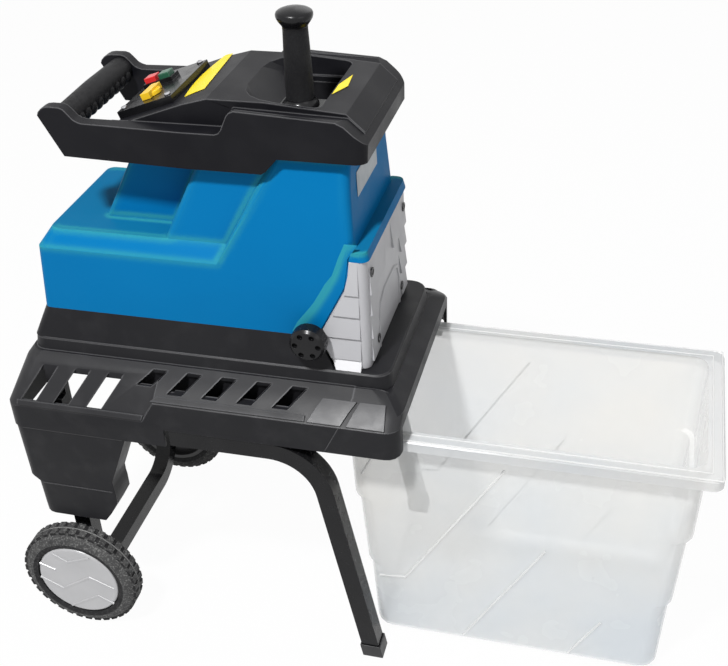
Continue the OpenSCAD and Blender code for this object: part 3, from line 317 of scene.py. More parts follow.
def lathe(name, profile, steps, centre, axis):
    # profile of (radius, height) along the axis, closed where the radius is 0 or by coming back to its start
    axis = Vector(axis).normalized()
    side = axis.orthogonal().normalized()
    third = axis.cross(side)
    points, faces, rows = [], [], []
    for r, h in profile:
        if r <= 0:
            rows.append([len(points)])
            points.append(centre + axis * h / 1000)
            continue
        row = []
        for k in range(steps):
            a = 2 * math.pi * k / steps
            row.append(len(points))
            points.append(centre + axis * h / 1000 + (side * math.cos(a) + third * math.sin(a)) * (r / 1000))
        rows.append(row)
    for low, high in zip(rows, rows[1:]):
        for k in range(steps):
            n = (k + 1) % steps
            if len(low) == 1 and len(high) > 1:
                faces.append((low[0], high[k], high[n]))
            elif len(high) == 1 and len(low) > 1:
                faces.append((low[k], low[n], high[0]))
            elif len(low) > 1:
                faces.append((low[k], low[n], high[n], high[k]))
    return fromFaces(name, points, faces)


def plate(name, corners, normal, thick):
    # a thin raised plate on a flat or bent outline, given as rows of points across
    normal = Vector(normal).normalized() * thick / 1000
    rows = [[Vector(p) for p in row] for row in corners]
    count, last = len(rows[0]), len(rows) - 1
    points = [p for row in rows for p in row] + [p + normal for row in rows for p in row]
    top = len(rows) * count
    faces = []
    for i in range(last):
        for j in range(count - 1):
            a, b = i * count + j, i * count + j + 1
            c, d = b + count, a + count
            faces += [(a, b, c, d), (top + a, top + d, top + c, top + b)]
    border = [(0, j) for j in range(count)] + [(i, count - 1) for i in range(1, len(rows))]
    border += [(last, j) for j in range(count - 2, -1, -1)] + [(i, 0) for i in range(last - 1, 0, -1)]
    ids = [i * count + j for i, j in border]
    for a, b in zip(ids, ids[1:] + ids[:1]):
        faces.append((a, b, top + b, top + a))
    return fromFaces(name, points, faces)


def loopFaces(count):  # the faces of a tube of four-cornered rings, with both its ends
    faces = []
    last = 4 * count - 4
    for i in range(0, last, 4):
        for k in range(4):
            n = (k + 1) % 4
            faces.append((i + k, i + n, i + 4 + n, i + 4 + k))
    return faces + [(0, 1, 2, 3), (last + 3, last + 2, last + 1, last)]


beads = {"sunk": 0.6, "crown": 0.6, "mitre": 0.3}


def strip(name, path, width, height, normal):
    # a raised bead along a path on a face, mitred at its bends
    normal = Vector(normal).normalized()
    path = [Vector(p) for p in path]
    lift, sunk = normal * height / 1000, normal * (-beads["sunk"] / 1000)
    points = []
    for i, p in enumerate(path):
        before = (p - path[i - 1]).normalized() if i else (path[1] - p).normalized()
        after = (path[i + 1] - p).normalized() if i + 1 < len(path) else before
        along = (before + after).normalized()
        side = along.cross(normal).normalized() * (width / 2000 / max(beads["mitre"], along.dot(after)))
        crown = side * beads["crown"]
        points += [p - side + sunk, p - crown + lift, p + crown + lift, p + side + sunk]
    return fromFaces(name, points, loopFaces(len(path)))


boxSides = [(0, 1, 2, 3), (4, 5, 6, 7), (0, 1, 5, 4), (1, 2, 6, 5), (2, 3, 7, 6), (3, 0, 4, 7)]


def wedge(name, topA, topB, lowA, lowB, normal, proud, sunk=0.8):
    # a clapboard: flush along its top edge, standing proud along its lower one
    out, back = Vector(normal) * proud / 1000, Vector(normal) * (-sunk / 1000)
    points = [topA + back, topB + back, lowB + back, lowA + back, topA, topB, lowB + out, lowA + out]
    return fromFaces(name, points, boxSides)


def block(name, low, high):
    points = [(x, y, z) for z in (low[2], high[2])
              for x, y in ((low[0], low[1]), (high[0], low[1]), (high[0], high[1]), (low[0], high[1]))]
    return fromFaces(name, points, boxSides)


def discard(piece):
    mesh = piece.data
    bpy.data.objects.remove(piece)
    bpy.data.meshes.remove(mesh)


def joined(name, parts):
    bm = bmesh.new()
    for part in parts:
        bm.from_mesh(part.data)
    mesh = bpy.data.meshes.new(name)
    bm.to_mesh(mesh)
    bm.free()
    for part in parts:
        discard(part)
    return linkMesh(name, mesh)


def carve(piece, cutters):
    for cutter in cutters:
        cut = piece.modifiers.new("cut", "BOOLEAN")
        cut.operation = "DIFFERENCE"
        cut.solver = "EXACT"
        cut.object = cutter
    bake(piece)
    for cutter in cutters:
        discard(cutter)
    return piece


def paintBy(piece, keys, pick):
    # one finish per face, chosen by the face's middle and direction
    mesh = piece.data
    mesh.materials.clear()
    for key in keys:
        mesh.materials.append(finish[key])
    for face in mesh.polygons:
        face.material_index = int(pick(face.center, face.normal))
    return piece


def newTree(name, **inputs):
    tree = bpy.data.node_groups.new(name, "GeometryNodeTree")
    tree.interface.new_socket("Geometry", in_out="INPUT", socket_type="NodeSocketGeometry")
    for label, kind in inputs.items():
        tree.interface.new_socket(label, in_out="INPUT", socket_type=f"NodeSocket{kind}")
    tree.interface.new_socket("Geometry", in_out="OUTPUT", socket_type="NodeSocketGeometry")
    return tree, addNode(tree, "NodeGroupInput").outputs, addNode(tree, "NodeGroupOutput").inputs


def headTree():
    # screw heads on points, each facing its own way and turned at random
    tree, given, result = newTree("headsOnPoints", Template="Object", Size="Float", Spin="Float", Seed="Int",
                                  Material="Material")
    template = addNode(tree, "GeometryNodeObjectInfo")
    facing = addNode(tree, "GeometryNodeInputNamedAttribute", data_type="FLOAT_VECTOR")
    facing.inputs["Name"].default_value = "facing"
    align = addNode(tree, "FunctionNodeAlignRotationToVector", axis="Z")
    chance = addNode(tree, "FunctionNodeRandomValue", data_type="FLOAT")
    most, drawn = chance.inputs[3], chance.outputs[1]  # the sockets of a float draw
    spin = addNode(tree, "FunctionNodeAxisAngleToRotation")
    turn = addNode(tree, "FunctionNodeRotateRotation", rotation_space="LOCAL")
    heads = addNode(tree, "GeometryNodeInstanceOnPoints")
    plain = addNode(tree, "GeometryNodeRealizeInstances")
    paint = addNode(tree, "GeometryNodeSetMaterial")
    wire(tree, given["Template"], template.inputs["Object"])
    wire(tree, facing.outputs["Attribute"], align.inputs["Vector"])
    wire(tree, given["Spin"], most)
    wire(tree, given["Seed"], chance.inputs["Seed"])
    spin.inputs["Axis"].default_value = (0, 0, 1)
    wire(tree, drawn, spin.inputs["Angle"])
    wire(tree, align.outputs["Rotation"], turn.inputs["Rotation"])
    wire(tree, spin.outputs["Rotation"], turn.inputs["Rotate By"])
    wire(tree, given["Geometry"], heads.inputs["Points"])
    wire(tree, template.outputs["Geometry"], heads.inputs["Instance"])
    wire(tree, turn.outputs["Rotation"], heads.inputs["Rotation"])
    wire(tree, given["Size"], heads.inputs["Scale"])
    wire(tree, heads.outputs["Instances"], plain.inputs["Geometry"])
    wire(tree, plain.outputs["Geometry"], paint.inputs["Geometry"])
    wire(tree, given["Material"], paint.inputs["Material"])
    wire(tree, paint.outputs["Geometry"], result["Geometry"])
    return tree


def ringTree():
    # copies of a template around a circle, turned to face outwards
    tree, given, result = newTree("ringOfRibs", Template="Object", Count="Int", Radius="Float",
                                  Centre="Vector", Turn="Rotation", Material="Material")
    template = addNode(tree, "GeometryNodeObjectInfo")
    circle = addNode(tree, "GeometryNodeMeshCircle")
    index = addNode(tree, "GeometryNodeInputIndex")
    share = addNode(tree, "ShaderNodeMath", operation="DIVIDE")
    angle = addNode(tree, "ShaderNodeMath", operation="MULTIPLY")
    spin = addNode(tree, "FunctionNodeAxisAngleToRotation")
    ribs = addNode(tree, "GeometryNodeInstanceOnPoints")
    plain = addNode(tree, "GeometryNodeRealizeInstances")
    place = addNode(tree, "GeometryNodeTransform")
    paint = addNode(tree, "GeometryNodeSetMaterial")
    wire(tree, given["Template"], template.inputs["Object"])
    wire(tree, given["Count"], circle.inputs["Vertices"])
    wire(tree, given["Radius"], circle.inputs["Radius"])
    wire(tree, index.outputs["Index"], share.inputs[0])
    wire(tree, given["Count"], share.inputs[1])
    wire(tree, share.outputs[0], angle.inputs[0])
    angle.inputs[1].default_value = 2 * math.pi
    spin.inputs["Axis"].default_value = (0, 0, 1)
    wire(tree, angle.outputs[0], spin.inputs["Angle"])
    wire(tree, circle.outputs["Mesh"], ribs.inputs["Points"])
    wire(tree, template.outputs["Geometry"], ribs.inputs["Instance"])
    wire(tree, spin.outputs["Rotation"], ribs.inputs["Rotation"])
    wire(tree, ribs.outputs["Instances"], plain.inputs["Geometry"])
    wire(tree, plain.outputs["Geometry"], place.inputs["Geometry"])
    wire(tree, given["Centre"], place.inputs["Translation"])
    wire(tree, given["Turn"], place.inputs["Rotation"])
    wire(tree, place.outputs["Geometry"], paint.inputs["Geometry"])
    wire(tree, given["Material"], paint.inputs["Material"])
    wire(tree, paint.outputs["Geometry"], result["Geometry"])
    return tree


def grow(name, tree, values, points=((0, 0, 0),), facing=None, angle=35):
    # runs a node tree on a few points and keeps its result as a plain mesh
    mesh = bpy.data.meshes.new(name)
    mesh.from_pydata([tuple(p) for p in points], [], [])
    if facing:
        layer = mesh.attributes.new("facing", "FLOAT_VECTOR", "POINT")
        for i, way in enumerate(facing):
            layer.data[i].vector = way
    piece = linkMesh(name, mesh)
    nodes = piece.modifiers.new("nodes", "NODES")
    nodes.node_group = tree
    for item in tree.interface.items_tree:
        if item.item_type == "SOCKET" and item.in_out == "INPUT" and item.name in values:
            nodes[item.identifier] = values[item.name]
    bake(piece)
    smooth(piece, angle)
    return piece


def islands(node):
    # the separate solids of a node, each as its lowest and highest corners
    bm = bmesh.new()
    bm.from_mesh(frame["nodes"][node].data)
    bmesh.ops.remove_doubles(bm, verts=bm.verts, dist=weld)
    left, boxes = set(bm.verts), []
    while left:
        reach, found = [left.pop()], []
        while reach:
            vert = reach.pop()
            found.append(vert.co.copy())
            for edge in vert.link_edges:
                other = edge.other_vert(vert)
                if other in left:
                    left.discard(other)
                    reach.append(other)
        boxes.append([Vector([pick(c[i] for c in found) for i in range(3)]) for pick in (min, max)])
    bm.free()
    return sorted(boxes, key=lambda box: (round(box[0].x, 4), round(box[0].y, 4), box[0].z))


def between(line, at):
    # the height of a bent line at a place along it, level past its end
    for (a0, b0), (a1, b1) in zip(line, line[1:]):
        if at <= a1:
            return b0 + (b1 - b0) * (at - a0) / (a1 - a0)
    return line[-1][1]


camera = {"place": (0.29754, -1.38058, 1.46521), "right": (0.967901, 0.248075, -0.040332),
          "up": (-0.105781, 0.54766, 0.829987), "lens": 55.98, "sensor": 36.0}


def placeCamera():
    data = bpy.data.cameras.new("camera")
    data.sensor_fit = "HORIZONTAL"
    data.sensor_width = camera["sensor"]
    data.lens = camera["lens"]
    right, up = Vector(camera["right"]), Vector(camera["up"])
    back = right.cross(up)
    turn = Matrix((right, up, back)).transposed().to_4x4()
    view = bpy.data.objects.new("camera", data)
    bpy.context.scene.collection.objects.link(view)
    view.matrix_world = Matrix.Translation(Vector(camera["place"]) + Vector((deckEnd, 0, 0))) @ turn
    bpy.context.scene.camera = view


studio = {"floorSize": 9.0, "floorColour": (0.86, 0.86, 0.86), "floorGlow": 0.97, "floorRough": 0.9,
          "floorShine": 0.1, "worldColour": (1.0, 1.0, 1.0), "worldLevel": 0.21, "aim": (-0.1, 0.0, 0.55),
          "lamps": [((-0.45, -1.8, 3.3), 0.3, 108.0), ((2.4, -1.4, 2.2), 2.0, 12.0),
                    ((0.2, 2.6, 2.6), 2.2, 10.0)]}  # each lamp's place, size and power


def seenDirectly(tree):
    # 1 where the eye, a mirror or a clear wall shows the backdrop, 0 where it only gives light
    path = addNode(tree, "ShaderNodeLightPath")
    first = addNode(tree, "ShaderNodeMath", operation="MAXIMUM")
    second = addNode(tree, "ShaderNodeMath", operation="MAXIMUM")
    wire(tree, path.outputs["Is Camera Ray"], first.inputs[0])
    wire(tree, path.outputs["Is Glossy Ray"], first.inputs[1])
    wire(tree, first.outputs[0], second.inputs[0])
    wire(tree, path.outputs["Is Transmission Ray"], second.inputs[1])
    return second.outputs[0]


def paleWorld():
    world = bpy.data.worlds.new("studio")
    bpy.context.scene.world = world
    world.use_nodes = True
    tree = world.node_tree
    backdrop = tree.nodes["Background"]
    backdrop.inputs["Color"].default_value = (*studio["worldColour"], 1)
    pick = addNode(tree, "ShaderNodeMix", data_type="FLOAT")
    pick.inputs["A"].default_value = studio["worldLevel"]
    pick.inputs["B"].default_value = 1.0
    wire(tree, seenDirectly(tree), pick.inputs["Factor"])
    wire(tree, pick.outputs["Result"], backdrop.inputs["Strength"])


def paleFloor():
    half = studio["floorSize"] / 2
    floor = fromFaces("floor", [(-half, -half, 0), (half, -half, 0), (half, half, 0), (-half, half, 0)],
                      [(0, 1, 2, 3)])
    material = bpy.data.materials.new("paleFloor")
    material.use_nodes = True
    tree = material.node_tree
    shader = tree.nodes["Principled BSDF"]
    shader.inputs["Base Color"].default_value = (*studio["floorColour"], 1)
    shader.inputs["Roughness"].default_value = studio["floorRough"]
    shader.inputs["Specular IOR Level"].default_value = studio["floorShine"]
    glow = addNode(tree, "ShaderNodeEmission")
    glow.inputs["Color"].default_value = (1, 1, 1, 1)
    share = addNode(tree, "ShaderNodeMath", operation="MULTIPLY")
    share.inputs[1].default_value = studio["floorGlow"]
    wire(tree, seenDirectly(tree), share.inputs[0])
    blend = addNode(tree, "ShaderNodeMixShader")
    wire(tree, share.outputs[0], blend.inputs["Fac"])
    wire(tree, shader.outputs["BSDF"], blend.inputs[1])
    wire(tree, glow.outputs["Emission"], blend.inputs[2])
    wire(tree, blend.outputs["Shader"], tree.nodes["Material Output"].inputs["Surface"])
    floor.data.materials.append(material)


def studioLight():
    for i, (place, size, power) in enumerate(studio["lamps"]):
        data = bpy.data.lights.new(f"softLamp{i}", "AREA")
        data.shape = "DISK"
        data.size = size
        data.energy = power
        lamp = bpy.data.objects.new(f"softLamp{i}", data)
        bpy.context.scene.collection.objects.link(lamp)
        lamp.location = place
        lamp.rotation_euler = (Vector(studio["aim"]) - Vector(place)).to_track_quat("-Z", "Y").to_euler()


placeCamera()
paleWorld()
paleFloor()
studioLight()
bpy.context.scene.view_settings.view_transform = "Standard"
print("camera, floor and light placed")


deckLook = ["deckPlastic", "slopePlastic", "deckEdge"]
shells = [
    # name, node, body, slot, finishes, rounding, segments
    ("deckShell", "deck", "chassis", "black_plastic", deckLook, 2.2, 3),
    ("endFrame", "deck_end_frame", "chassis", "black_plastic", deckLook, 2.2, 3),
    ("legCoverRight", "leg_cover_right", "chassis", "black_plastic", ["deckPlastic", "deckEdge"], 1.6, 2),
    ("legCoverLeft", "leg_cover_left", "chassis", "black_plastic", ["deckPlastic", "deckEdge"], 1.6, 2),
    ("legRight", "front_leg_right", "chassis", "black_steel", ["legPaint"], 2.0, 3),
    ("legLeft", "front_leg_left", "chassis", "black_steel", ["legPaint"], 2.0, 3),
    ("rearFrame", "rear_leg_frame", "chassis", "black_steel", ["legPaint"], 2.0, 3),
    ("footCaps", "foot_caps", "chassis", "black_plastic", ["rimBlack"], 1.2, 2),
    ("lowerHousing", "lower_housing", "chassis", "black_plastic", ["plinthPlastic"], 1.6, 2),
    ("motorCover", "main_cover", "chassis", "blue_plastic", ["coverBlue", "coverTop"], 3.0, 3),
    ("drumCover", "drum_cover", "chassis", "grey_plastic", ["coverGrey"], 2.0, 3),
    ("hoodShell", "hood", "chassis", "hood_plastic", ["hoodPlastic", "hoodEdge"], 2.6, 3),
    ("handleGrip", "handle_grip", "chassis", "grip_plastic", ["gripBlack"], 1.0, 2),
    ("controlPanel", "control_panel", "chassis", "black_plastic", ["glossBlack"], 1.6, 3),
    ("feedChute", "feed_chute", "chassis", "black_plastic", ["deckPlastic"], 0.8, 2),
    ("powerInlet", "power_inlet", "chassis", "black_plastic", ["glossBlack"], 0.8, 2),
    ("boxRails", "box_rails", "chassis", "black_plastic", ["deckPlastic"], 0.8, 2),
    ("axles", "stub_axles", "chassis", "steel", ["bareSteel"], 0.8, 2),
    ("stopButton", "stop_button", "stop", "red_plastic", ["stopRed"], 1.8, 3),
    ("startButton", "start_button", "start", "green_plastic", ["startGreen"], 1.8, 3),
    ("directionSelector", "direction_selector", "selector", "yellow_plastic", ["selectYellow"], 1.6, 3),
    ("adjustingKnob", "adjusting_knob", "adjuster", "grip_plastic", ["glossBlack"], 3.0, 4),
]
shading = {"skyward": 0.8, "slopeUp": (0.3, 0.93), "slopeOut": 0.3, "slopeArea": 2e-5, "lowEdge": 0.12,
           "seamTurn": 0.3}


def shadeFaces(shell, keys):
    lowest, highest = shading["slopeUp"]
    for face in shell.data.polygons:
        way = face.normal
        if "coverTop" in keys:  # painted shade: the blue is darker where it faces the sky
            face.material_index = int(way.z > shading["skyward"])
        if face.material_index == len(keys) - 1 and way.z < shading["lowEdge"]:
            # no painted edge highlight on the hood's lower edges and on upright seams
            if "hoodEdge" in keys or ("deckEdge" in keys and abs(way.x) > shading["seamTurn"]):
                face.material_index = 0
        if "slopePlastic" in keys and lowest < way.z < highest:  # painted highlight: the black is paler on the deck's slopes
            if abs(way.y) > shading["slopeOut"] and face.area > shading["slopeArea"]:
                face.material_index = 1


for name, node, body, slot, keys, width, segments in shells:
    edgeSlot = 0 if "coverTop" in keys else len(keys) - 1
    shadeFaces(dress(name, node, body, keys, width, segments, edgeSlot), keys)
print("shells dressed:", len(shells))

# slope is y and z from foot to top, a pad is its x ends at the foot and at the top
deckPads = {"slope": [(189.5, 471.5), (173.2, 484.2), (158, 494.4)], "lean": (0.6, 0.8), "columns": 3,
            "pads": [((-134, -84), (-116, -66)), ((-76, -20), (-62, -24))], "thick": 2.2, "round": 0.8}
deckBands = {"slopeBand": {"rows": [(189.4, 471.6), (181.3, 477.5)], "ends": [(-374, -137), (-364, -137)],
                           "lean": (0.6, 0.8)},
             "slopeLedge": {"rows": [(190.0, 434.0), (185.4, 442.0)], "ends": [(-598, -392), (-598, -390)],
                            "lean": (0.85, 0.5)},
             "thick": 2.2, "round": 1.0}


def slopePads(side, label):
    # low pads on the deck's slope at the box end
    parts, (out, up) = [], deckPads["lean"]
    for (low0, low1), (top0, top1) in deckPads["pads"]:
        rows = []
        for i, (y, z) in enumerate(deckPads["slope"]):
            t = i / (len(deckPads["slope"]) - 1)
            x0, x1 = low0 + (top0 - low0) * t, low1 + (top1 - low1) * t
            xs = [x0 + (x1 - x0) * k / deckPads["columns"] for k in range(deckPads["columns"] + 1)]
            rows.append([mm(x, side * y, z) for x in xs])
        parts.append(plate("pad", rows, (0, side * out, up), deckPads["thick"]))
    pads = rounded(joined(f"slopePads{label}", parts), deckPads["round"])
    settle(pads, "chassis", ["padPlastic"])


def slopeBand(name, side, label):
    # the long raised band below the slots, or the ledge at the wheel end
    band = deckBands[name]
    out, up = band["lean"]
    rows = [[mm(x, side * y, z) for x in ends] for ends, (y, z) in zip(band["ends"], band["rows"])]
    piece = plate(f"{name}{label}", rows, (0, side * out, up), deckBands["thick"])
    # the band and the ledge take the paler slope black, a painted highlight
    settle(rounded(piece, deckBands["round"]), "chassis", ["slopePlastic"])


for side, label in sides:
    slopePads(side, label)
    slopeBand("slopeBand", side, label)
    slopeBand("slopeLedge", side, label)

legCovers = {"face": 189.0, "round": 0.5,
             "legCoverLine": {"ends": (-588, -467), "height": 278.0, "wide": 3.2, "proud": 1.0,
                              "look": "deckPlastic"},
             # painted highlight: a pale line where the cover goes under the deck
             "legCoverTop": {"ends": (-600, -432), "height": 389.4, "wide": 2.2, "proud": 0.7,
                             "look": "deckEdge"}}


def legCoverLine(name, side, label):
    # the step across a leg cover, or the pale line where it goes under the deck, a painted highlight
    bead = legCovers[name]
    path = [mm(x, side * legCovers["face"], bead["height"]) for x in bead["ends"]]
    line = strip(f"{name}{label}", path, bead["wide"], bead["proud"], (0, side, 0))
    settle(rounded(line, legCovers["round"]), "chassis", [bead["look"]])


for side, label in sides:
    legCoverLine("legCoverLine", side, label)
    legCoverLine("legCoverTop", side, label)

# rows are high, low and proud; endRows are high, low and inner edge; seam is z and x
boards = {"rows": [(700, 648, 3.0), (648, 613, 3.2), (613, 577, 3.4), (577, 541, 3.6)],
          "foot": (541, 525, 9.0), "seam": [(700, -78), (661, -84), (573, -129), (541, -113)],
          "seamGap": 2, "belowSeam": 0.5, "corner": -67.0, "round": 0.6,
          "endRows": [(690, 643, 18), (643, 609, 66), (609, 571, 66), (571, 533, 66)],
          "endProud": 3.5, "endInset": 8, "endEdge": (106, 108), "archWide": 7.0, "archProud": 2.0,
          "arch": [(-62, 527), (-62, 575), (-52, 597), (-30, 607), (30, 607), (52, 597), (62, 575),
                   (62, 527)]}


def seamAt(z):
    # where the blue cover's edge lies at a height
    for (z0, x0), (z1, x1) in zip(boards["seam"], boards["seam"][1:]):
        if z >= z1:
            return x0 + (x1 - x0) * (z0 - z) / (z0 - z1)
    lastZ, lastX = boards["seam"][-1]
    return lastX + (lastZ - z) * boards["belowSeam"]


def sideBoard(side, high, low, proud):
    y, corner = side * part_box("drum_cover")[1].y * 1000, boards["corner"]
    highSeam, lowSeam = seamAt(high) + boards["seamGap"], seamAt(low + 1) + boards["seamGap"]
    return wedge("board", mm(highSeam, y, high), mm(corner, y, high), mm(lowSeam, y, low), mm(corner, y, low),
                 (0, side, 0), proud)


def endBoard(side, x, high, low, inner):
    highEdge, lowEdge = boards["endEdge"]
    return wedge("board", mm(x, side * inner, high), mm(x, side * highEdge, high),
                 mm(x, side * (inner + boards["endInset"]), low), mm(x, side * lowEdge, low),
                 (1, 0, 0), boards["endProud"])


def drumCoverBands():
    # the boards on the drum cover, its foot with a painted highlight and the arch on its end
    endX = (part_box("drum_cover")[1].x - deckEnd) * 1000
    parts, feet = [], []
    for side in (-1, 1):
        parts += [sideBoard(side, *row) for row in boards["rows"]]
        feet.append(sideBoard(side, *boards["foot"]))
        parts += [endBoard(side, endX, *row) for row in boards["endRows"]]
    arch = [mm(endX, y, z) for y, z in boards["arch"]]
    parts.append(strip("arch", arch, boards["archWide"], boards["archProud"], (1, 0, 0)))
    bands = rounded(joined("drumCoverBands", parts), boards["round"])
    settle(bands, "chassis", ["coverGrey"])
    foot = rounded(joined("drumCoverFeet", feet), boards["round"])
    settle(foot, "chassis", ["coverFoot"])


drumCoverBands()

# rows are height, outer edge, inner edge and right end
crease = {"face": -119.4, "proud": 3.4, "bend": 676, "lean": 0.108, "highlightWay": (-0.15, -0.5), "round": 0.8,
          "rows": [(724, -88, -80, -67), (704, -97, -87, -80), (661, -118.5, -107, -86),
                   (630, -136, -124, -102), (595, -163, -149, -120), (578, -172, -158, -129)]}


def creasePanel():
    # the raised corner of the blue cover, with a painted highlight on its broad slope
    points = []
    for z, outer, inner, right in crease["rows"]:
        low = crease["face"] + max(0, z - crease["bend"]) * crease["lean"]
        high = low - crease["proud"]
        points += [mm(outer, low, z), mm(inner, high, z), mm(right, high, z), mm(right, low, z)]
    panel = fromFaces("creasePanel", points, loopFaces(len(crease["rows"])))
    wayX, wayY = crease["highlightWay"]
    paintBy(panel, ["coverBlue", "coverEdge"], lambda middle, way: way.x < wayX and way.y < wayY)
    settle(rounded(panel, crease["round"]), "chassis", [])


creasePanel()
print("covers trimmed")

plates = {"hump": [(-408, 861), (-305, 898), (-269, 908), (-190, 908), (-80, 899), (-56, 877)], "lift": 0.4,
          "thick": 0.5, "soft": 40, "rows": 8, "columns": 4, "left": -312, "bow": 9,
          "right": (-288, -299), "leftY": (-60, 97), "rightY": (-45, 95), "stripWay": (-0.3, 0, 1),
          "corner": [[(-113.7, -36.9), (-100.9, -3.5)], [(-113.8, -1.9), (-104.5, 35.9)]],
          "cornerWay": (0.1, 0, 1), "sideRows": [(-76.2, 772), (-76.9, 808)], "sideY": (-69, 37),
          "sideWay": (1, 0, 0.02), "sideThick": 0.7}


def onHump(x, y):
    return mm(x, y, between(plates["hump"], x) + plates["lift"])


def partWay(ends, t):
    return ends[0] + (ends[1] - ends[0]) * t


def stripPlate():
    # the long plate over the hood, bowed towards the panel
    rows = []
    for k in range(plates["rows"] + 1):
        t = k / plates["rows"]
        ends = (plates["left"] - plates["bow"] * math.sin(math.pi * t), partWay(plates["right"], t))
        ys = (partWay(plates["leftY"], t), partWay(plates["rightY"], t))
        steps = [j / plates["columns"] for j in range(plates["columns"] + 1)]
        rows.append([onHump(partWay(ends, s), partWay(ys, s)) for s in steps])
    piece = plate("stripPlate", rows, plates["stripWay"], plates["thick"])
    smooth(piece, plates["soft"])
    settle(piece, "chassis", ["plateYellow"])


def smallPlates():
    rows = [[onHump(*point) for point in row] for row in plates["corner"]]
    corner = plate("cornerPlate", rows, plates["cornerWay"], plates["thick"])
    settle(corner, "chassis", ["plateYellow"])
    rows = [[mm(x, y, z) for y in plates["sideY"]] for x, z in plates["sideRows"]]
    side = plate("sidePlate", rows, plates["sideWay"], plates["sideThick"])
    settle(side, "chassis", ["plateSilver"])


stripPlate()
smallPlates()
print("blank plates laid")

plunger = {"centre": (-157, -38, 880), "steps": 56, "soft": 40, "barrel": (17, 112),
           "foot": (62, 48, 6), "footRound": 2.5, "paddleRound": 3.0,
           "profile": [(0, 3), (24, 3), (25.4, 6), (24.4, 9.5), (21.5, 12.5), (19.6, 15), (18.8, 17),
                       (18.5, 40), (17.6, 80), (16.6, 108), (16.8, 112.5), (18.6, 115.5), (21.6, 119.5),
                       (23.6, 123), (24.4, 126), (24.4, 128.5), (23.4, 130.8), (20.8, 132.6), (15, 134.8),
                       (8, 136.3), (0, 136.8)]}


def plungerHandle():
    centre = mm(*plunger["centre"])
    grip = lathe("grip", plunger["profile"], plunger["steps"], centre, (0, 0, 1))
    halfX, halfY = [v / 2000 for v in plunger["foot"][:2]]
    foot = block("foot", (centre.x - halfX, centre.y - halfY, centre.z),
                 (centre.x + halfX, centre.y + halfY, centre.z + plunger["foot"][2] / 1000))
    rounded(foot, plunger["footRound"], 3)
    handle = joined("plungerHandle", [grip, foot])
    low, high = [centre.z + h / 1000 for h in plunger["barrel"]]
    paintBy(handle, ["glossBlack", "gripBlack"], lambda middle, way: low < middle.z < high)
    smooth(handle, plunger["soft"])
    settle(handle, "plunger", [], ["plunger"])
    dress("plungerPaddle", "plunger_paddle", "plunger", ["glossBlack"],
          plunger["paddleRound"], 3)


plungerHandle()

knob = {"x": -138, "z": 575, "radius": 25.7, "ribs": 30, "rib": (1.3, 2.2, 12.0), "ribRound": 0.5}


def knobRibs():
    half = [v / 2000 for v in knob["rib"]]
    rib = rounded(block("rib", [-v for v in half], half), knob["ribRound"])
    low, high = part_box("adjusting_knob")
    centre = mm(knob["x"], 0, knob["z"])
    centre.y = (low.y + high.y) / 2
    values = {"Template": rib, "Count": knob["ribs"], "Radius": knob["radius"] / 1000, "Centre": centre,
              "Turn": (math.pi / 2, 0, 0), "Material": finish["glossBlack"]}
    ribs = grow("knobRibs", ringTree(), values)
    discard(rib)
    settle(ribs, "adjuster", ["glossBlack"])


knobRibs()
print("plunger and knob made")

# head, hex and mouth are radius and height
screws = {"head": [(0, -1.0), (4.2, -1.0), (4.5, 0.2), (4.2, 1.3), (3.0, 2.1), (1.2, 2.45), (0, 2.5)],
          "headSteps": 28, "cross": (5.6, 1.1, 3.0), "hex": [(0, 0), (7, 0), (7, 4.2), (6.1, 5), (0, 5)],
          "hexRound": 0.3, "mouth": [(4.3, 1.8), (7.0, 1.8), (7.0, 3.1), (4.3, 3.1)], "mouthSteps": 24,
          "spin": math.pi / 2, "seed": 7}


def crossHead():
    head = lathe("crossHead", screws["head"], screws["headSteps"], Vector(), (0, 0, 1))
    arm, thin, deep = [v / 2000 for v in screws["cross"]]
    top = screws["head"][-1][1] / 1000
    carve(head, [block("slot", (-arm, -thin, top - deep), (arm, thin, top + deep)),
                 block("slot", (-thin, -arm, top - deep), (thin, arm, top + deep))])
    return head


def hexHead():
    return rounded(lathe("hexHead", screws["hex"], 6, Vector(), (0, 0, 1)), screws["hexRound"])


def panelWay():
    # straight out of the tilted panel, as the start button moves
    press = next(j for j in frame["record"]["behaviour"]["joints"] if j["name"] == "start_press")
    way = Vector(press["axis"])
    return way if way.z > 0 else -way


def screwSet(name, node, template, top, tree, way):
    # one head on the outer end of each solid of the node
    points, ways = [], []
    for low, high in islands(node):
        middle, half = (low + high) / 2, (high - low) / 2
        out = way(middle)
        reach = sum(abs(out[i]) * half[i] for i in range(3))
        points.append(middle + out * (reach - top / 1000))
        ways.append(out)
    values = {"Template": template, "Size": 1.0, "Spin": screws["spin"], "Seed": screws["seed"],
              "Material": finish["bareSteel"]}
    heads = grow(name, tree, values, points, ways)
    settle(heads, "chassis", ["bareSteel"], [node])
    return points, ways


def allScrews():
    tree, cross, hexed, up = headTree(), crossHead(), hexHead(), panelWay()
    crossTop, hexTop = screws["head"][-1][1], screws["hex"][-1][1]
    places = screwSet("coverScrews", "cover_screws", cross, crossTop, tree, lambda m: Vector((1, 0, 0)))
    loop = screws["mouth"] + screws["mouth"][:1]  # painted shade: dark rings for the shaded holes that these heads sit in
    mouths = [lathe("mouth", loop, screws["mouthSteps"], point, out) for point, out in zip(*places)]
    settle(joined("coverScrewMouths", mouths), "chassis", ["rimBlack"])
    screwSet("panelScrews", "panel_screws", cross, crossTop, tree, lambda m: up)
    screwSet("legBolts", "leg_bolts", hexed, hexTop, tree, lambda m: Vector((0, 1 if m.y > 0 else -1, 0)))
    discard(cross)
    discard(hexed)


allScrews()
print("screws set")

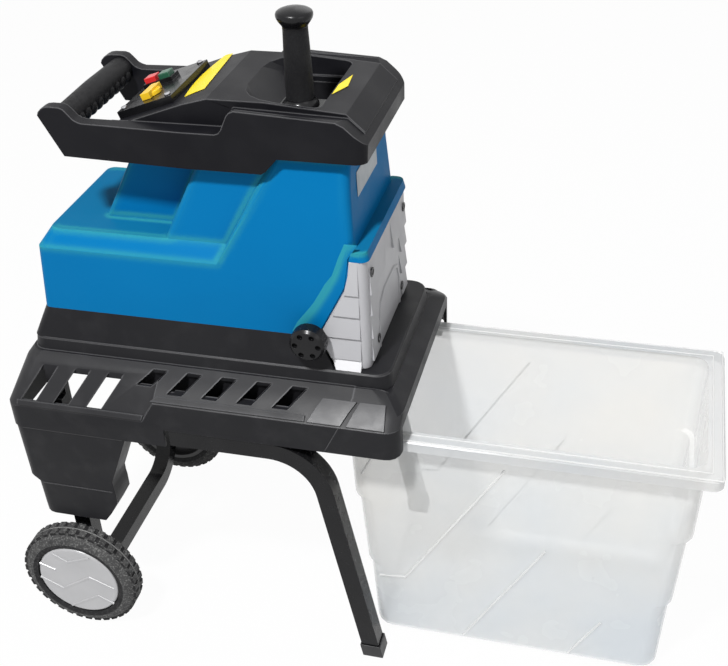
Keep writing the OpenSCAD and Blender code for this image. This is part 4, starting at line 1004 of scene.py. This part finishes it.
# carcass and line are radius and place along the axle
wheels = {"axle": (-545, 100), "face": 224.0, "middle": 202.5, "seat": 80.5, "steps": 72, "dustySide": 0.3,
          "tyreRound": 0.9, "rimRound": 1.0, "capRound": 1.2,
          "carcass": [(84, -19.2), (91, -17.2), (95.5, -13.6), (98.6, -12), (98.6, 12), (95.5, 13.6),
                      (91, 17.2), (84, 19.2)],
          "line": [(98.2, 1.6), (99.6, 1.2), (99.6, -0.4), (98.2, -0.8)],
          "chevronWide": 5.0, "chevronProud": 0.9,
          "chevrons": [[(-65, 27), (-38, 17.5)], [(-69.6, -4.7), (-31.3, -24), (22.4, 12.3), (63.7, -5.8)],
                       [(-23.6, -63), (31.4, -28.7), (57.4, -41.3)], [(-36, 54), (-12, 40), (30, 57)]]}


def wheelRing(name, loop, way, axle):
    return lathe(name, loop + loop[:1], wheels["steps"], axle, (0, way, 0))


def wheelSet(way, label):
    side = label.lower()
    body = f"wheel_{side}"
    ax, az = wheels["axle"]
    axle = mm(ax, way * wheels["middle"], az)
    rubber = ["tyreRubber", "tyreDust"]

    def onTread(middle, turn):
        return math.hypot(middle.x - axle.x, middle.z - axle.z) * 1000 > wheels["seat"]

    tyre = dress(f"tyre{label}", f"tyre_{side}", body, rubber, wheels["tyreRound"], 2)
    paintBy(tyre, rubber, onTread)
    carcass = wheelRing(f"carcass{label}", wheels["carcass"], way, axle)
    paintBy(carcass, rubber, lambda middle, turn: abs(turn.y) > wheels["dustySide"])
    smooth(carcass)
    settle(carcass, body, [])
    line = wheelRing(f"treadLine{label}", wheels["line"], way, axle)
    smooth(line)
    settle(line, body, ["tyreLine"])
    dress(f"rim{label}", f"rim_{side}", body, ["rimBlack"], wheels["rimRound"], 2)
    dress(f"hubCap{label}", f"hub_cap_{side}", body, ["hubSilver"], wheels["capRound"], 3)
    parts = []
    for bends in wheels["chevrons"]:
        path = [mm(ax + dx, way * wheels["face"], az + dz) for dx, dz in bends]
        parts.append(strip("chevron", path, wheels["chevronWide"], wheels["chevronProud"], (0, way, 0)))
    settle(joined(f"hubChevrons{label}", parts), body, ["hubSilver"])


for way, label in sides:
    wheelSet(way, label)
print("wheels made")

# walls are height and half width, folds are x and z
box = {"floor": 12, "rim": 414, "round": 2.0, "lift": 0.1,
       "walls": [(0, 128.4), (6, 130.4), (139, 132.4), (143, 133.4), (274, 135.4), (280, 136.4),
                 (422, 137.4)],
       "folds": [[(143, 386), (-10, 133), (-52, 128)], [(208, 236), (85, 20)], [(-50, 386), (-72, 342)],
                 [(300, 100), (254, 18)]],
       "foldSteps": 12, "foldWide": 3.4, "foldProud": 0.9, "beads": (3, 17), "beadWide": 2.2,
       "beadProud": 0.7}


def wallAt(z):
    return between(box["walls"], z - box["floor"]) + box["lift"]


def boxFold(side, fold):
    # a crease on a long wall, in short steps because the wall leans
    path, steps = [], box["foldSteps"]
    for (x0, z0), (x1, z1) in zip(fold, fold[1:]):
        path += [(x0 + (x1 - x0) * k / steps, z0 + (z1 - z0) * k / steps) for k in range(steps)]
    path.append(fold[-1])
    points = [mm(x, side * wallAt(z), z) for x, z in path]
    return strip("fold", points, box["foldWide"], box["foldProud"], (0, side, 0))


def rimHighlightBeads(inset):
    # painted highlights: bright lines along three sides of the rim
    low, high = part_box("collection_box")
    x0, x1, y, z = low.x + inset / 1000, high.x - inset / 1000, high.y - inset / 1000, high.z
    runs = [((x0, -y), (x1, -y)), ((x1, -y), (x1, y)), ((x1, y), (x0, y))]
    return [strip("bead", [Vector((*a, z)), Vector((*b, z))], box["beadWide"], box["beadProud"], (0, 0, 1))
            for a, b in runs]


def collectionBox():
    keys = ["boxMilky", "boxRim"]
    tub = dress("collectionBox", "collection_box", "box", keys, box["round"], 2)
    paintBy(tub, keys, lambda middle, way: middle.z * 1000 > box["rim"])
    parts = [boxFold(side, fold) for side in (-1, 1) for fold in box["folds"]]
    for inset in box["beads"]:
        parts += rimHighlightBeads(inset)
    settle(joined("boxFolds", parts), "box", ["boxLine"])


collectionBox()
print("box made")

inner = {"bareSteel": ["gear_bearings", "motor_bearings", "plate_guides", "motor_shaft", "counter_shaft",
                       "counter_gear", "drum_shaft", "output_gear", "adjusting_screw"],
         "castMetal": ["gearbox_case", "gearbox_cover", "motor_shields", "capacitor", "chamber_plates"],
         "dullIron": ["cutting_drum", "counter_plate"],
         "windings": ["motor_stator", "rotor_core"],
         "glossBlack": ["knob_bush", "cooling_fan", "switch_body"]}
for key, nodes in inner.items():
    for node in nodes:
        mesh = frame["nodes"][node].data
        mesh.materials.clear()
        mesh.materials.append(finish[key])
print("inner pieces finished")
